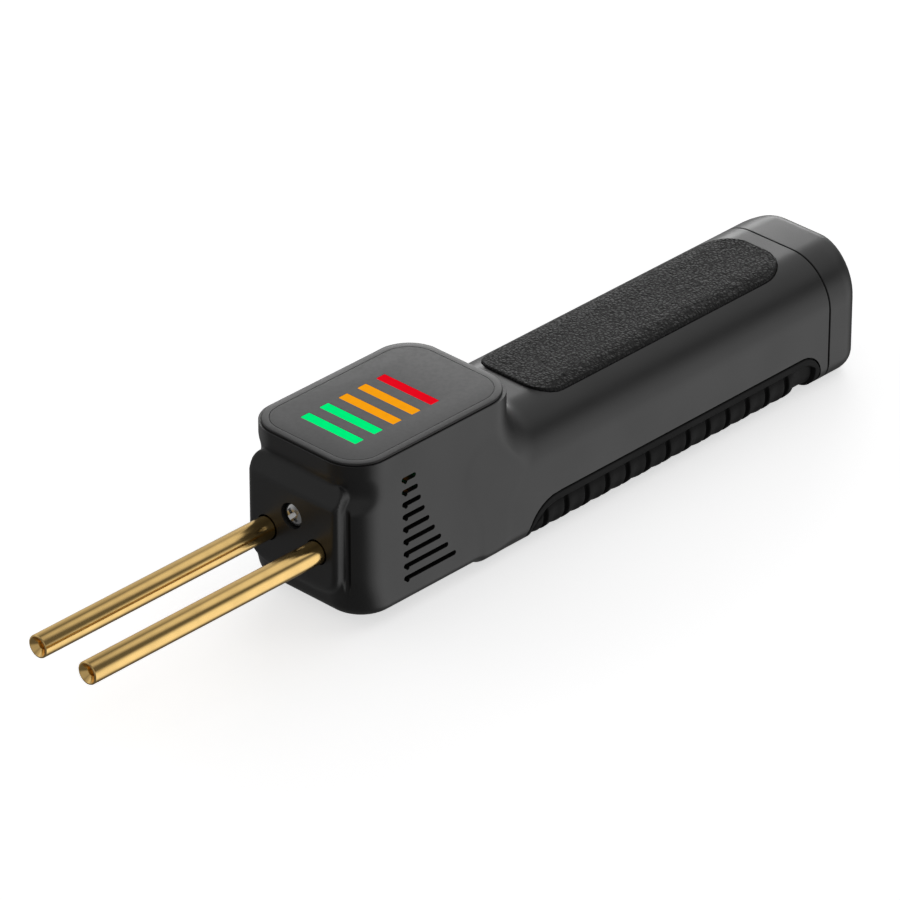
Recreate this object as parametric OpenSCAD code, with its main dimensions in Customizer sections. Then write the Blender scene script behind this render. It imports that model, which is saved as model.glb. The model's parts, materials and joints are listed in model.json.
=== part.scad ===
// Cordless hot-staple plastic welder: two brass electrodes on a palm-sized battery handle.
// Every piece is drawn from the nose face on the electrode plane: +X points out along the
// electrodes, +Y to the left and +Z up. Then it is set down on the rest plane at Z = 0.

/* [Body] */
// Length from the nose face to the rear end
body_l = 155.2; // [150:0.2:190]
// Wall of the housing
wall = 2.6; // [2.4:0.1:3.2]
// Clearance round pieces that drop into a pocket
gap = 0.15; // [0.1:0.05:0.25]

/* [Head] */
// Length of the head, from its front plane to its back
head_l = 48; // [48:1:60]
// Width of the head
head_w = 32.4; // [31:0.2:40]
// Height of the head's rim above the electrode plane
head_up = 20.4; // [20:0.2:26]
// Depth of the head's floor below the electrode plane
head_down = 15.1; // [15:0.1:18]
// Radius of the head's upright corners
head_corner = 8.2; // [6:0.2:9]
// Radius along the head's bottom edges
head_foot = 3; // [1:0.5:4]
// How far the nose stands out in front of the head
nose_out = 2.2; // [1.5:0.1:4]
// Width of the nose face
nose_w = 25; // [24:0.5:27]

/* [Handle] */
// Width of the handle
handle_w = 33.8; // [33:0.2:40]
// Height of the handle's top above the electrode plane
handle_up = 11.6; // [11:0.2:14]
// Depth of the handle's underside below the electrode plane
handle_down = 17.2; // [17:0.2:20]
// Radius of the handle's upper edges
handle_top_r = 11; // [8:0.5:12]
// Radius of the handle's lower edges
handle_foot_r = 5.5; // [4:0.5:6]
// Length of the end cap
cap_l = 11.4; // [10:0.2:18]
// Radius round the end cap's rear edge
cap_edge = 3; // [1:0.5:4]
// Radius of the end cap's upright corners, seen from above
cap_corner = 6.5; // [4:0.1:8]

/* [Grips] */
// Width of the textured pad on the handle's top
pad_w = 20.6; // [18:0.2:24]
// Distance from the head to the pad
pad_gap = 12.3; // [11:0.1:16]
// How far the pad stands proud of the handle
pad_proud = 0.5; // [0.2:0.1:0.8]
// Depth of the pockets for the pad and the lower grip
pocket = 1.3; // [1:0.1:1.6]
// Height of the lower grip's side edge below the electrode plane
grip_edge = 7.7; // [6:0.1:10]
// Distance between two grooves of the lower grip
groove_pitch = 6.17; // [5:0.01:8]
// Width of a groove
groove_w = 1; // [0.6:0.1:1.6]
// Depth of a groove
groove_deep = 0.8; // [0.4:0.1:0.9]

/* [Electrodes] */
// Diameter of an electrode
electrode_d = 5; // [4:0.1:6]
// Distance between the two electrodes
electrode_gap = 14; // [12:0.2:15]
// Length of an electrode outside the nose
electrode_out = 63; // [40:1:90]
// Length of an electrode inside the nose
electrode_in = 24; // [22:0.5:26]
// Diameter of the staple socket in a tip
socket_d = 2; // [1:0.1:2.4]
// Depth of the staple socket
socket_deep = 12; // [6:0.5:20]
// Diameter of the socket's countersink
countersink_d = 4.2; // [3:0.1:4.6]

/* [Top cover] */
// Thickness of the cover's rim
cover_t = 0.47; // [0.4:0.01:1]
// How far the cover's rim stays inside the head
cover_inset = 0.5; // [0.2:0.1:1]
// Depth of the cover's plug inside the head
plug_deep = 3; // [2:0.1:4]
// Thickness of the label film
film_t = 0.25; // [0.15:0.05:0.4]
// Distance from the cover's edge to the film
film_inset = 1.65; // [1:0.05:3]
// Length of a light bar across the head
bar_l = 15.4; // [12:0.1:17]
// Width of a light bar
bar_w = 2.45; // [1.5:0.05:3]
// Distance between two light bars
bar_pitch = 5.4; // [4:0.1:6]
// Distance from the nose face to the first light bar
bar_start = 11.75; // [11:0.05:14]

/* [Vents] */
// Number of vent slots on each side
vent_n = 9; // [3:1:9]
// Width of a vent slot
vent_w = 1; // [0.6:0.1:1.4]
// Distance between two vent slots
vent_pitch = 2.83; // [2:0.01:3]
// Length of the shortest vent slot
vent_l = 4.1; // [2:0.1:6]
// Distance from the nose face to the front end of the slots
vent_start = 15; // [13:0.5:18]

/* [Trigger] */
// Length of the trigger button
trigger_l = 16; // [12:0.5:17]
// Width of the trigger button
trigger_w = 9; // [7:0.5:10]
// How far the trigger stands out at rest
trigger_out = 1.4; // [1.3:0.1:1.8]
// Travel of the trigger
trigger_travel = 1.2; // [0.8:0.1:1.3]
// Distance from the nose face to the trigger's middle
trigger_back = 30; // [29:0.5:32]

/* [Battery] */
// Diameter of the battery cell
cell_d = 18.4; // [16:0.1:18.6]
// Length of the battery cell
cell_l = 65; // [50:0.5:66]

/* [Hidden] */
$fn = 48;
eps = 0.01;
hull_fn = 32;

// Places along the body, measured back from the nose face
row_x = (body_l - electrode_out) / 2;
head_front = -nose_out;
head_back = head_front - head_l;
seam_x = cap_l - body_l;
root_front = head_back + head_corner;
cavity_front = head_front - wall;
cavity_back = head_back + wall;
floor_z = wall - head_down;
cover_z = head_up + cover_t;

// Cover fasteners
cover_screw_d = 2;
cover_post_r = 2.3;
cover_screw_in = 6;
cover_screw_x = [head_front - cover_screw_in, head_back + cover_screw_in];
cover_screw_y = head_w / 2 - cover_screw_in;
cover_post_l = 4.8;

// Electrode block and terminals
block_l = 10;
block_half = electrode_gap / 2 + electrode_d / 2 + 2;
block_top = 9.5;
block_bottom = -4.4;
block_front = cavity_front - 0.2;
terminal_l = 9.6;
terminal_w = electrode_d + 4;
terminal_front = block_front - block_l - 0.2;
terminal_back = terminal_front - terminal_l;
rod_fit = 0.03;
nose_hole_d = electrode_d + 1.4;
nose_screw_z = 5.5;
nose_screw_d = 3;
nose_screw_head = 5.5;
nose_screw_sunk = 2.2;

// Trigger stack, from the floor up
flange_t = 1.05;
flange_lip = 1.2;
switch_size = 8;
switch_h = 4.9;
switch_z = -0.6 - switch_h;
plunger_out = trigger_travel;
plunger_d = 2.7;
plunger_in = 2.4;
spring_wire = 0.5;
spring_d = 5.2;
spring_turns = 5;
flange_top = floor_z + 0.05 + flange_t;
switch_board_z = switch_z + switch_h;
board_t = 1.2;
switch_board_front = terminal_back - 0.8;
switch_board_l = 16.4;
switch_board_half = 12;
switch_post_x = switch_board_front - switch_board_l + 2.8;
switch_post_y = 9.5;
small_screw_d = 2;
small_head_d = 3.6;
solder_gap = 0.2;

// Main board
main_board_z = 10.4;
main_board_t = 1.6;
main_board_half = head_w / 2 - wall - 1.4;
main_board_front = cavity_front - 3.4;
main_board_l = head_l - 2 * wall - 6.4;
rib_x = [-21, main_board_front - main_board_l + 8.6];
rib_w = 4;
rib_reach = 5.6;
transistor_half = head_w / 2 - wall - rib_reach - 0.4;
led_top = main_board_z + main_board_t + 0.9;

// Battery
cell_front = head_back - 15.8;
cell_z = -2.5;
cradle_wall = 1.2;

// End cap fasteners and charging port
cap_screw_y = handle_w / 2 - 5.7;
cap_screw_z = -3;
cap_screw_d = 2.5;
cap_screw_head = 4.6;
cap_post_r = 2.9;
cap_post_l = 9.8;
charge_z = 3;
charge_half = 8;
port_w = 8.94;
port_h = 3.26;
port_l = 7.6;
port_mouth = 1.6 - body_l;
charge_front = seam_x + 6.6;

module at_nose() { translate([row_x, 0, handle_down]) children(); }

module along_x(from, to) {
    translate([from, 0, 0]) rotate([90, 0, 90]) linear_extrude(to - from) children();
}

module along_y(from, to) {
    translate([0, to, 0]) rotate([90, 0, 0]) linear_extrude(to - from) children();
}

module rod(from, to, d) { translate([from, 0, 0]) rotate([0, 90, 0]) cylinder(h = to - from, d = d); }

module mirror_y() {
    children();
    mirror([0, 1, 0]) children();
}

module rounded(x, y, r) {
    square([x, y - 2 * r], center = true);
    square([x - 2 * r, y], center = true);
    for (sx = [-1, 1], sy = [-1, 1]) translate([sx * (x / 2 - r), sy * (y / 2 - r)]) circle(r);
}

module plan(front, back, half, r) {
    translate([(front + back) / 2, 0]) rounded(front - back, 2 * half, r);
}

module slot_2d(l, w) {
    square([l - w, w], center = true);
    for (s = [-1, 1]) translate([s * (l - w) / 2, 0]) circle(w / 2);
}

// A quarter arc as a list of points, from an angle on
arc_n = 10;
function arc(x, y, r, from) = [for (k = [0:arc_n]) [x + r * cos(from + 90 * k / arc_n),
                                                    y + r * sin(from + 90 * k / arc_n)]];

// Handle section: two large arcs above, two smaller ones below
function handle_points(inset = 0) = let (
    half = handle_w / 2 - inset,
    top_r = handle_top_r - inset,
    foot_r = handle_foot_r - inset,
    top = handle_up - inset - top_r,
    low = inset - handle_down + foot_r)
    concat(arc(half - top_r, top, top_r, 0), arc(top_r - half, top, top_r, 90),
           arc(foot_r - half, low, foot_r, 180), arc(half - foot_r, low, foot_r, 270));

module handle_section(inset = 0) {
    polygon(handle_points(inset));
}

// A closed skin over rings of points that each have the same number of sides
module skin(rings, sides) {
    count = len(rings) / sides;
    last = len(rings) - sides;
    polyhedron(rings, concat(
        [[for (k = [0:sides - 1]) k]],
        [[for (k = [sides - 1:-1:0]) last + k]],
        [for (i = [0:count - 2], k = [0:sides - 1])
            [i * sides + k, (i + 1) * sides + k, (i + 1) * sides + (k + 1) % sides,
             i * sides + (k + 1) % sides]]));
}

// One upright corner of the head, rounded at its foot
module corner_column(r, foot, low, high) {
    rotate_extrude($fn = hull_fn) {
        translate([0, low + foot]) square([r, high - low - foot]);
        translate([0, low]) square([r - foot, foot]);
        intersection() {
            translate([r - foot, low + foot]) circle(foot, $fn = hull_fn);
            translate([0, low]) square([r, foot]);
        }
    }
}

// The head's block: four upright corners, the lower front leaning back a little
module head_form(inset, low, high) {
    r = head_corner - inset;
    foot = max(head_foot - inset, 0.4);
    front = head_front - inset - r;
    back = head_back + inset + r;
    side = head_w / 2 - inset - r;
    // The sides spread a little towards the floor, to meet the handle's
    spread = max(handle_w / 2 - head_w / 2 - 0.2, 0.1);
    lean = 2;
    lean_z = -4.4;
    hull() for (s = [-1, 1]) {
        translate([front, s * side, high - 1]) cylinder(h = 1, r = r, $fn = hull_fn);
        translate([front, s * (side + spread), lean_z]) cylinder(h = 1, r = r, $fn = hull_fn);
        translate([front - lean, s * (side + spread), 0]) corner_column(r, foot, low, low + foot + 1);
        translate([back, s * side, high - 1]) cylinder(h = 1, r = r, $fn = hull_fn);
        translate([back, s * (side + spread), 0]) corner_column(r, foot, low, low + foot + 1);
    }
}

// The raised nose: a flat face with a sloping brow and a tucked chin
module nose_form() {
    face_top = 12;
    brow_top = 16.3;
    face_low = -10;
    chin_low = -12;
    half = nose_w / 2;
    hull() for (s = [-1, 1]) {
        along_x(-0.6, 0) translate([s * (half - 3.5), face_top - 2.5]) circle(2.5, $fn = hull_fn);
        along_x(-0.6, 0) translate([s * (half - 8), face_low + 7]) circle(7, $fn = hull_fn);
        along_x(-5, -2) translate([s * (half - 2.5), brow_top - 2.5]) circle(2.5, $fn = hull_fn);
        along_x(-5, -2) translate([s * (half - 8), chin_low + 8]) circle(8, $fn = hull_fn);
    }
}

// The handle's underside dips below the head's floor behind a short slope
module root_form() {
    slope = 6;
    lip = 2;
    hull() {
        along_x(root_front - 0.5, root_front) intersection() {
            handle_section();
            translate([-handle_w / 2, -handle_down]) square([handle_w, handle_down - head_down + 2 * lip]);
        }
        along_x(root_front + slope, root_front + slope + 0.5)
            translate([2 * head_foot - head_w / 2, 0.2 - head_down]) square([head_w - 4 * head_foot, lip]);
    }
}

// A concave ramp from the back of the head down to the handle's top
module neck_ramp() {
    r = head_up - handle_up - 1;
    half = handle_w / 2 - handle_top_r + 4;
    along_y(-half, half) difference() {
        translate([head_back - r, handle_up - 2]) square([r + 4, r + 2]);
        translate([head_back - r, handle_up + r]) circle(r);
    }
}

// Outline of the pad from above: tight corners in front, wide ones behind
module pad_outline(grow = 0) {
    front = head_back - pad_gap + grow;
    back = seam_x + 4.3 - grow;
    half = pad_w / 2 + grow;
    front_r = 5.5 + grow;
    back_r = 9 + grow;
    polygon(concat(arc(front - front_r, half - front_r, front_r, 0), arc(back + back_r, half - back_r, back_r, 90),
                   arc(back + back_r, back_r - half, back_r, 180),
                   arc(front - front_r, front_r - half, front_r, 270)));
}

// Side view of the lower grip: a long edge that sweeps down at the front
module grip_outline(grow = 0) {
    front = head_back - 1 + grow;
    back = seam_x + 2.4 - grow;
    top = grow - grip_edge;
    low = -handle_down - 1;
    front_r = 9 + grow;
    back_r = 6 + grow;
    polygon(concat(arc(front - front_r, top - front_r, front_r, 0),
                   arc(back + back_r, top - back_r, back_r, 90), [[back, low], [front, low]]));
}

module vent_slots() {
    step_a = 0.39;
    step_b = 0.122;
    top_z = 13.8;
    for (i = [0:vent_n - 1]) {
        l = vent_l + step_a * i + step_b * i * i;
        translate([-vent_start - l / 2, top_z - i * vent_pitch]) slot_2d(l, vent_w);
    }
}

module housing_posts() {
    // Corner posts under the top cover, webbed to the walls
    for (x = cover_screw_x, s = [-1, 1]) translate([x, 0, head_up - plug_deep - gap - cover_post_l]) {
        translate([0, s * cover_screw_y, 0]) cylinder(h = cover_post_l, r = cover_post_r);
        translate([1 - cover_post_r, s > 0 ? cover_screw_y : -cover_screw_y - 4, 0])
            cube([2 * cover_post_r - 2, 4, cover_post_l]);
    }
    // Ribs that carry the main board
    for (x = rib_x) mirror_y()
        translate([x - rib_w / 2, head_w / 2 - wall - rib_reach, main_board_z - 5])
            cube([rib_w, rib_reach + 0.5, 5]);
    // Posts that carry the switch board
    mirror_y() translate([switch_post_x, switch_post_y, floor_z - 0.5])
        cylinder(h = switch_board_z - floor_z + 0.5, r = 2.3);
    // Posts for the end cap's screws, webbed to the walls
    mirror_y() {
        translate([0, cap_screw_y, cap_screw_z]) rod(seam_x, seam_x + cap_post_l, 2 * cap_post_r);
        translate([seam_x, cap_screw_y, cap_screw_z - 1.5])
            cube([cap_post_l, handle_w / 2 - cap_screw_y - 1.5, 3]);
    }
    // Shelves for the charging board
    mirror_y() translate([seam_x, charge_half - 1.5, charge_z - 1.4])
        cube([5.8, handle_w / 2 - charge_half - 1, 1.4]);
}

module housing() at_nose() color("#26272a") difference() {
    union() {
        difference() {
            union() {
                head_form(0, -head_down, head_up);
                nose_form();
                root_form();
                along_x(seam_x, root_front) handle_section();
                neck_ramp();
            }
            head_form(wall, floor_z, head_up + 1);
            along_x(seam_x - 1, cavity_back + 2) handle_section(wall);
        }
        housing_posts();
    }
    // Cover screws, board screws and end cap screws
    for (x = cover_screw_x, s = [-1, 1])
        translate([x, s * cover_screw_y, head_up - plug_deep - cover_post_l + 0.4])
            cylinder(h = 6, d = cover_screw_d + 0.1);
    mirror_y() translate([rib_x[1], main_board_half - 2, main_board_z - 4.5])
        cylinder(h = 5, d = small_screw_d + 0.1);
    mirror_y() translate([switch_post_x, switch_post_y, switch_board_z - 6])
        cylinder(h = 7, d = small_screw_d + 0.1);
    mirror_y() translate([0, cap_screw_y, cap_screw_z])
        rod(seam_x - 1, seam_x + 8, cap_screw_d + 0.1);
    // Nose: electrode holes, screw hole and its counterbore
    mirror_y() translate([0, electrode_gap / 2, 0]) rod(cavity_front - 1, 1, nose_hole_d);
    translate([0, 0, nose_screw_z]) {
        rod(cavity_front - 1, 1, nose_screw_d + 0.4);
        rod(-nose_screw_sunk, 1, nose_screw_head + 0.7);
    }
    // Vents through both sides
    along_y(-head_w / 2 - 1, head_w / 2 + 1) vent_slots();
    // Trigger opening
    translate([-trigger_back, 0, -head_down - 1])
        linear_extrude(wall + 2) slot_2d(trigger_l + 2 * gap, trigger_w + 2 * gap);
    // Pocket for the pad
    intersection() {
        linear_extrude(handle_up + 5) pad_outline(gap);
        along_x(seam_x, head_back) difference() {
            handle_section(-2);
            handle_section(pocket);
        }
    }
    // Pocket for the lower grip
    intersection() {
        along_y(-handle_w, handle_w) grip_outline(gap);
        along_x(seam_x, head_back + 5) difference() {
            handle_section(-2);
            handle_section(pocket);
        }
    }
}

module phillips(d, deep) {
    for (a = [0, 90]) rotate([0, 0, a]) translate([-d / 2, -d / 10, -deep]) cube([d, d / 5, deep + 1]);
}

// A pan-head screw standing on its point, the head's underside at Z = 0
module screw(d, l, head_d, head_h) {
    difference() {
        union() {
            translate([0, 0, -l]) cylinder(h = l + eps, d = d);
            cylinder(h = head_h * 0.6, d = head_d);
            translate([0, 0, head_h * 0.6]) cylinder(h = head_h * 0.4, d1 = head_d, d2 = head_d * 0.7, $fn = 48);
        }
        translate([0, 0, head_h]) phillips(head_d * 0.62, head_h * 0.6);
    }
}

module nose_screw() at_nose() color("#c8c8c8")
    translate([-nose_screw_sunk, 0, nose_screw_z]) rotate([0, 90, 0])
        screw(nose_screw_d, 10, nose_screw_head, 1.8);

// Light bars: their places, and one bar's outline from above
function bar_x(i) = -bar_start - i * bar_pitch;

module bar(i, grow = 0) {
    translate([bar_x(i), 0]) square([bar_w + 2 * grow, bar_l + 2 * grow], center = true);
}

module light_bar(i) {
    translate([0, 0, led_top + 0.2]) linear_extrude(cover_z - led_top - 0.2) bar(i);
    translate([0, 0, head_up - plug_deep - 0.8 - gap]) linear_extrude(0.8) bar(i, 0.6);
}

module top_cover() at_nose() color("#2b2c30") difference() {
    union() {
        translate([0, 0, head_up]) linear_extrude(cover_t)
            plan(head_front - cover_inset, head_back + cover_inset, head_w / 2 - cover_inset,
                 head_corner - cover_inset);
        translate([0, 0, head_up - plug_deep]) linear_extrude(plug_deep + eps)
            plan(cavity_front - gap, cavity_back + gap, head_w / 2 - wall - gap,
                 head_corner - wall - gap);
    }
    translate([0, 0, cover_z - film_t]) linear_extrude(1)
        plan(head_front - cover_inset - film_inset, head_back + cover_inset + film_inset,
             head_w / 2 - cover_inset - film_inset, head_corner - cover_inset - film_inset);
    for (i = [0:4]) translate([0, 0, head_up - plug_deep - 1]) linear_extrude(plug_deep + 3) bar(i, 0.05);
    for (x = cover_screw_x, s = [-1, 1]) translate([x, s * cover_screw_y, 0]) {
        translate([0, 0, head_up - plug_deep - 1]) cylinder(h = plug_deep + 2, d = cover_screw_d + 0.4);
        translate([0, 0, cover_z - film_t - 1.5]) cylinder(h = 3, d = 4.2);
    }
}

module cover_screws() at_nose() color("#b0b0b0")
    for (x = cover_screw_x, s = [-1, 1])
        translate([x, s * cover_screw_y, cover_z - film_t - 1.5]) screw(cover_screw_d, 6, 3.8, 1.3);

module label_film() at_nose() color("#1e1f22")
    translate([0, 0, cover_z - film_t]) linear_extrude(film_t) difference() {
        plan(head_front - cover_inset - film_inset - 0.05, head_back + cover_inset + film_inset + 0.05,
             head_w / 2 - cover_inset - film_inset - 0.05, head_corner - cover_inset - film_inset - 0.05);
        for (i = [0:4]) bar(i, 0.05);
    }

module green_light_bars() at_nose() color("#1cd177") for (i = [0, 1]) light_bar(i);

module orange_light_bars() at_nose() color("#f0a018") for (i = [2, 3]) light_bar(i);

module red_light_bar() at_nose() color("#e01828") light_bar(4);

module top_grip_pad() at_nose() color("#3a3a3c")
    intersection() {
        linear_extrude(handle_up + 5) pad_outline();
        along_x(seam_x, head_back) difference() {
            handle_section(-pad_proud);
            handle_section(pocket - 0.1);
        }
    }

module lower_grip() at_nose() color("#303133") difference() {
    intersection() {
        along_y(-handle_w, handle_w) grip_outline();
        along_x(seam_x, head_back + 5) difference() {
            handle_section();
            handle_section(pocket - 0.1);
        }
    }
    first = head_back - 5.8;
    count = floor((first - seam_x - 4) / groove_pitch);
    border = 1.8;
    for (i = [0:count - 1])
        intersection() {
            along_x(first - i * groove_pitch - groove_w, first - i * groove_pitch) difference() {
                handle_section(-2);
                handle_section(groove_deep);
            }
            along_y(-handle_w, handle_w) grip_outline(-border);
        }
}

// The end cap's outside, with the rear face at zero: the handle section drawn in round the rear
// edge, and narrowed more round its upright corners
module cap_form() {
    steps = 8;
    places = [for (i = [steps:-1:0]) let (a = 90 * i / steps)
        [cap_corner * (1 - sin(a)), 1 - cap_corner * (1 - cos(a)) * 2 / handle_w]];
    skin([for (place = concat(places, [[cap_l, 1]]))
        let (past = max(cap_edge - place[0], 0), drawn_in = cap_edge - sqrt(cap_edge ^ 2 - past ^ 2))
        for (p = handle_points(drawn_in)) [place[0], p[0] * place[1], p[1]]],
        4 * (arc_n + 1));
}

module end_cap() at_nose() color("#26272a") translate([-body_l, 0, 0]) difference() {
    union() {
        difference() {
            cap_form();
            along_x(wall, cap_l + 1) handle_section(wall);
        }
        mirror_y() {
            translate([0, cap_screw_y, cap_screw_z]) rod(1.9, cap_l - 0.1, 7);
            translate([wall + 1, cap_screw_y, cap_screw_z - 1.5])
                cube([cap_l - wall - 1.1, handle_w / 2 - cap_screw_y - 1.5, 3]);
        }
    }
    mirror_y() translate([0, cap_screw_y, cap_screw_z]) {
        rod(-1, cap_l + 1, cap_screw_d + 0.4);
        rod(-1, 2.4, cap_screw_head + 0.6);
    }
    translate([0, 0, charge_z + board_t + port_h / 2]) along_x(-1, wall + 1)
        slot_2d(port_w + 0.8, port_h + 0.8);
}

module end_cap_screws() at_nose() color("#8a8a8c") mirror_y()
    translate([2.4 - body_l, cap_screw_y, cap_screw_z]) rotate([0, -90, 0])
        screw(cap_screw_d, cap_l + 4, cap_screw_head, 1.6);

module electrode() difference() {
    rod(-electrode_in, electrode_out, electrode_d);
    rod(electrode_out - socket_deep, electrode_out + 1, socket_d);
    translate([electrode_out - 1.4, 0, 0]) rotate([0, 90, 0])
        cylinder(h = 1.4 + eps, d1 = socket_d, d2 = countersink_d);
}

module electrode_left() at_nose() color("#d9a94e") translate([0, electrode_gap / 2, 0]) electrode();

module electrode_right() at_nose() color("#d9a94e") translate([0, -electrode_gap / 2, 0]) electrode();

module electrode_block() at_nose() color("#8a5a3a") difference() {
    translate([0, 0, block_bottom]) linear_extrude(block_top - block_bottom)
        plan(block_front, block_front - block_l, block_half, 4.5);
    mirror_y() translate([0, electrode_gap / 2, 0])
        rod(block_front - block_l - 1, block_front + 1, electrode_d + 2 * rod_fit);
    translate([0, 0, nose_screw_z]) rod(-nose_screw_sunk - 10.5, block_front + 1, nose_screw_d + 2 * rod_fit);
}

module terminal() difference() {
    translate([terminal_back, -terminal_w / 2, -terminal_w / 2]) cube([terminal_l, terminal_w, terminal_w]);
    rod(terminal_back - 1, terminal_front + 1, electrode_d + 2 * rod_fit);
    translate([terminal_back + terminal_l / 2, 0, 0]) cylinder(h = terminal_w, d = 3 + 2 * rod_fit);
}

module terminal_left() at_nose() color("#c9a24a") translate([0, electrode_gap / 2, 0]) terminal();

module terminal_right() at_nose() color("#c9a24a") translate([0, -electrode_gap / 2, 0]) terminal();

// Set screws that press on the electrodes, with a hexagon socket
module terminal_screws() at_nose() color("#55565a") mirror_y()
    translate([terminal_back + terminal_l / 2, electrode_gap / 2, electrode_d / 2 + 0.05]) difference() {
        cylinder(h = 2.6, d = 3);
        translate([0, 0, 1.4]) cylinder(h = 2, d = 1.7, $fn = 6);
    }

module trigger() at_nose() color("#1c1d1f") translate([-trigger_back, 0, 0]) {
    translate([0, 0, -head_down - trigger_out])
        linear_extrude(head_down + trigger_out + floor_z + 0.06) slot_2d(trigger_l, trigger_w);
    translate([0, 0, floor_z + 0.05]) linear_extrude(flange_t)
        slot_2d(trigger_l + 2 * flange_lip, trigger_w + 2 * flange_lip);
    translate([0, 0, flange_top - eps]) cylinder(h = switch_z - plunger_out - 0.05 - flange_top, d = 2.8);
}

// A round bar swept along a list of points, sides and rings worked out from the list
function unit(v) = v / norm(v);
function heading(path, i) = unit(path[min(i + 1, len(path) - 1)] - path[max(i - 1, 0)]);
function side_of(t) = unit(cross(t, abs(t[2]) < 0.9 ? [0, 0, 1] : [1, 0, 0]));

module sweep(path, r, sides = 8) {
    rings = [for (i = [0:len(path) - 1])
        let (t = heading(path, i), u = side_of(t), v = cross(t, u))
        for (k = [0:sides - 1]) path[i] + r * (cos(360 * k / sides) * u + sin(360 * k / sides) * v)];
    skin(rings, sides);
}

// A smooth curve through a short list of points
function bend(p, i, u) = let (a = p[max(i - 1, 0)], b = p[i], c = p[i + 1], d = p[min(i + 2, len(p) - 1)])
    0.5 * (2 * b + (c - a) * u + (2 * a - 5 * b + 4 * c - d) * u * u + (3 * b - a - 3 * c + d) * u * u * u);
function smooth(p, n = 5) = concat([for (i = [0:len(p) - 2], k = [0:n - 1]) bend(p, i, k / n)],
                                  [p[len(p) - 1]]);

module trigger_spring() at_nose() color("#b8bcc0") {
    low = flange_top + spring_wire / 2 + 0.05;
    high = switch_z - spring_wire / 2 - 0.05;
    turn = 16;
    count = spring_turns * turn;
    sweep([for (i = [0:count]) [-trigger_back + spring_d / 2 * cos(360 * i / turn),
                                spring_d / 2 * sin(360 * i / turn),
                                low + (high - low) * i / count]], spring_wire / 2);
}

module push_switch() at_nose() color("#202124") translate([-trigger_back, 0, 0]) difference() {
    translate([-switch_size / 2, -switch_size / 2, switch_z]) cube([switch_size, switch_size, switch_h - 0.02]);
    translate([0, 0, switch_z - 1]) cylinder(h = 1 + plunger_in + trigger_travel + 0.4, d = plunger_d + 0.16);
}

module switch_plunger() at_nose() color("#e8e4d8")
    translate([-trigger_back, 0, switch_z - plunger_out]) cylinder(h = plunger_out + plunger_in, d = plunger_d);

module switch_board() at_nose() color("#1f5c3a") difference() {
    translate([switch_board_front - switch_board_l, -switch_board_half, switch_board_z + 0.02])
        cube([switch_board_l, 2 * switch_board_half, board_t]);
    mirror_y() translate([switch_post_x, switch_post_y, switch_board_z - 1])
        cylinder(h = board_t + 2, d = small_screw_d + 0.3);
}

module switch_board_screws() at_nose() color("#b0b0b0") mirror_y()
    translate([switch_post_x, switch_post_y, switch_board_z + board_t + 0.04])
        screw(small_screw_d, 6, small_head_d, 1.3);

module main_board() at_nose() color("#1f5c3a") difference() {
    translate([0, 0, main_board_z + 0.02]) linear_extrude(main_board_t)
        plan(main_board_front, main_board_front - main_board_l, main_board_half, 2);
    mirror_y() translate([rib_x[1], main_board_half - 2, main_board_z - 1])
        cylinder(h = main_board_t + 2, d = small_screw_d + 0.3);
}

module main_board_screws() at_nose() color("#b0b0b0") mirror_y()
    translate([rib_x[1], main_board_half - 2, main_board_z + main_board_t + 0.04])
        screw(small_screw_d, 5.5, small_head_d, 1.3);

module indicator_leds() at_nose() color("#f2efe0")
    for (i = [0:4], s = [-1, 1])
        translate([bar_x(i) - 0.7, s * bar_l / 4 - 1.5, main_board_z + main_board_t + 0.04]) cube([1.4, 3, 0.8]);

module power_transistors() at_nose() color("#18191b") mirror_y()
    translate([-35.6, 1, main_board_z - 2.3]) cube([6.1, transistor_half - 1, 2.3]);

module control_chip() at_nose() color("#18191b")
    translate([-28, -2.6, main_board_z - 1.6]) cube([5.2, 5.2, 1.6]);

module battery_cell() at_nose() color("#2f6fb0") translate([0, 0, cell_z]) {
    rod(cell_front - cell_l, cell_front - 1.2, cell_d);
    rod(cell_front - 1.3, cell_front, 6);
}

module battery_cradle() at_nose() color("#3c3d40") difference() {
    half = cell_d / 2 + cradle_wall;
    low = wall - handle_down + 0.15;
    translate([cell_front - cell_l + 3, -half, low]) cube([cell_l - 6, 2 * half, cell_z - low]);
    translate([0, 0, cell_z]) rod(cell_front - cell_l, cell_front, cell_d + 0.4);
}

// Nickel strips on both ends of the cell
module cell_tabs() at_nose() color("#c4c4c0") {
    translate([cell_front + 0.02, -3.5, cell_z - 3]) cube([0.3, 7, 9]);
    translate([cell_front - cell_l - 0.32, -3.5, cell_z - 3]) cube([0.3, 7, 9]);
}

module charge_board() at_nose() color("#1f5c3a")
    translate([port_mouth + 3, -charge_half, charge_z + 0.02]) cube([charge_front - port_mouth - 3, 2 * charge_half, board_t]);

module charge_port() at_nose() color("#b9bcc0")
    translate([0, 0, charge_z + board_t + 0.04 + port_h / 2]) difference() {
        along_x(port_mouth, port_mouth + port_l) slot_2d(port_w, port_h);
        along_x(port_mouth - 1, port_mouth + 6) difference() {
            slot_2d(port_w - 0.6, port_h - 0.6);
            square([6.6, 0.7], center = true);
        }
    }

module electrode_lead(s) {
    y = electrode_gap / 2;
    x = terminal_back - 4;
    low = electrode_d / 2 + 0.6;
    sweep(smooth([[terminal_back - solder_gap, s * y, low], [terminal_back - 2, s * y, low],
                  [x, s * (y + 1.4), 5.4], [x, s * (y + 1.8), 8],
                  [x, s * (y + 1.8), main_board_z - solder_gap]]), 1.2);
}

module electrode_lead_left() at_nose() color("#b02020") electrode_lead(1);

module electrode_lead_right() at_nose() color("#202020") electrode_lead(-1);

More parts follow.
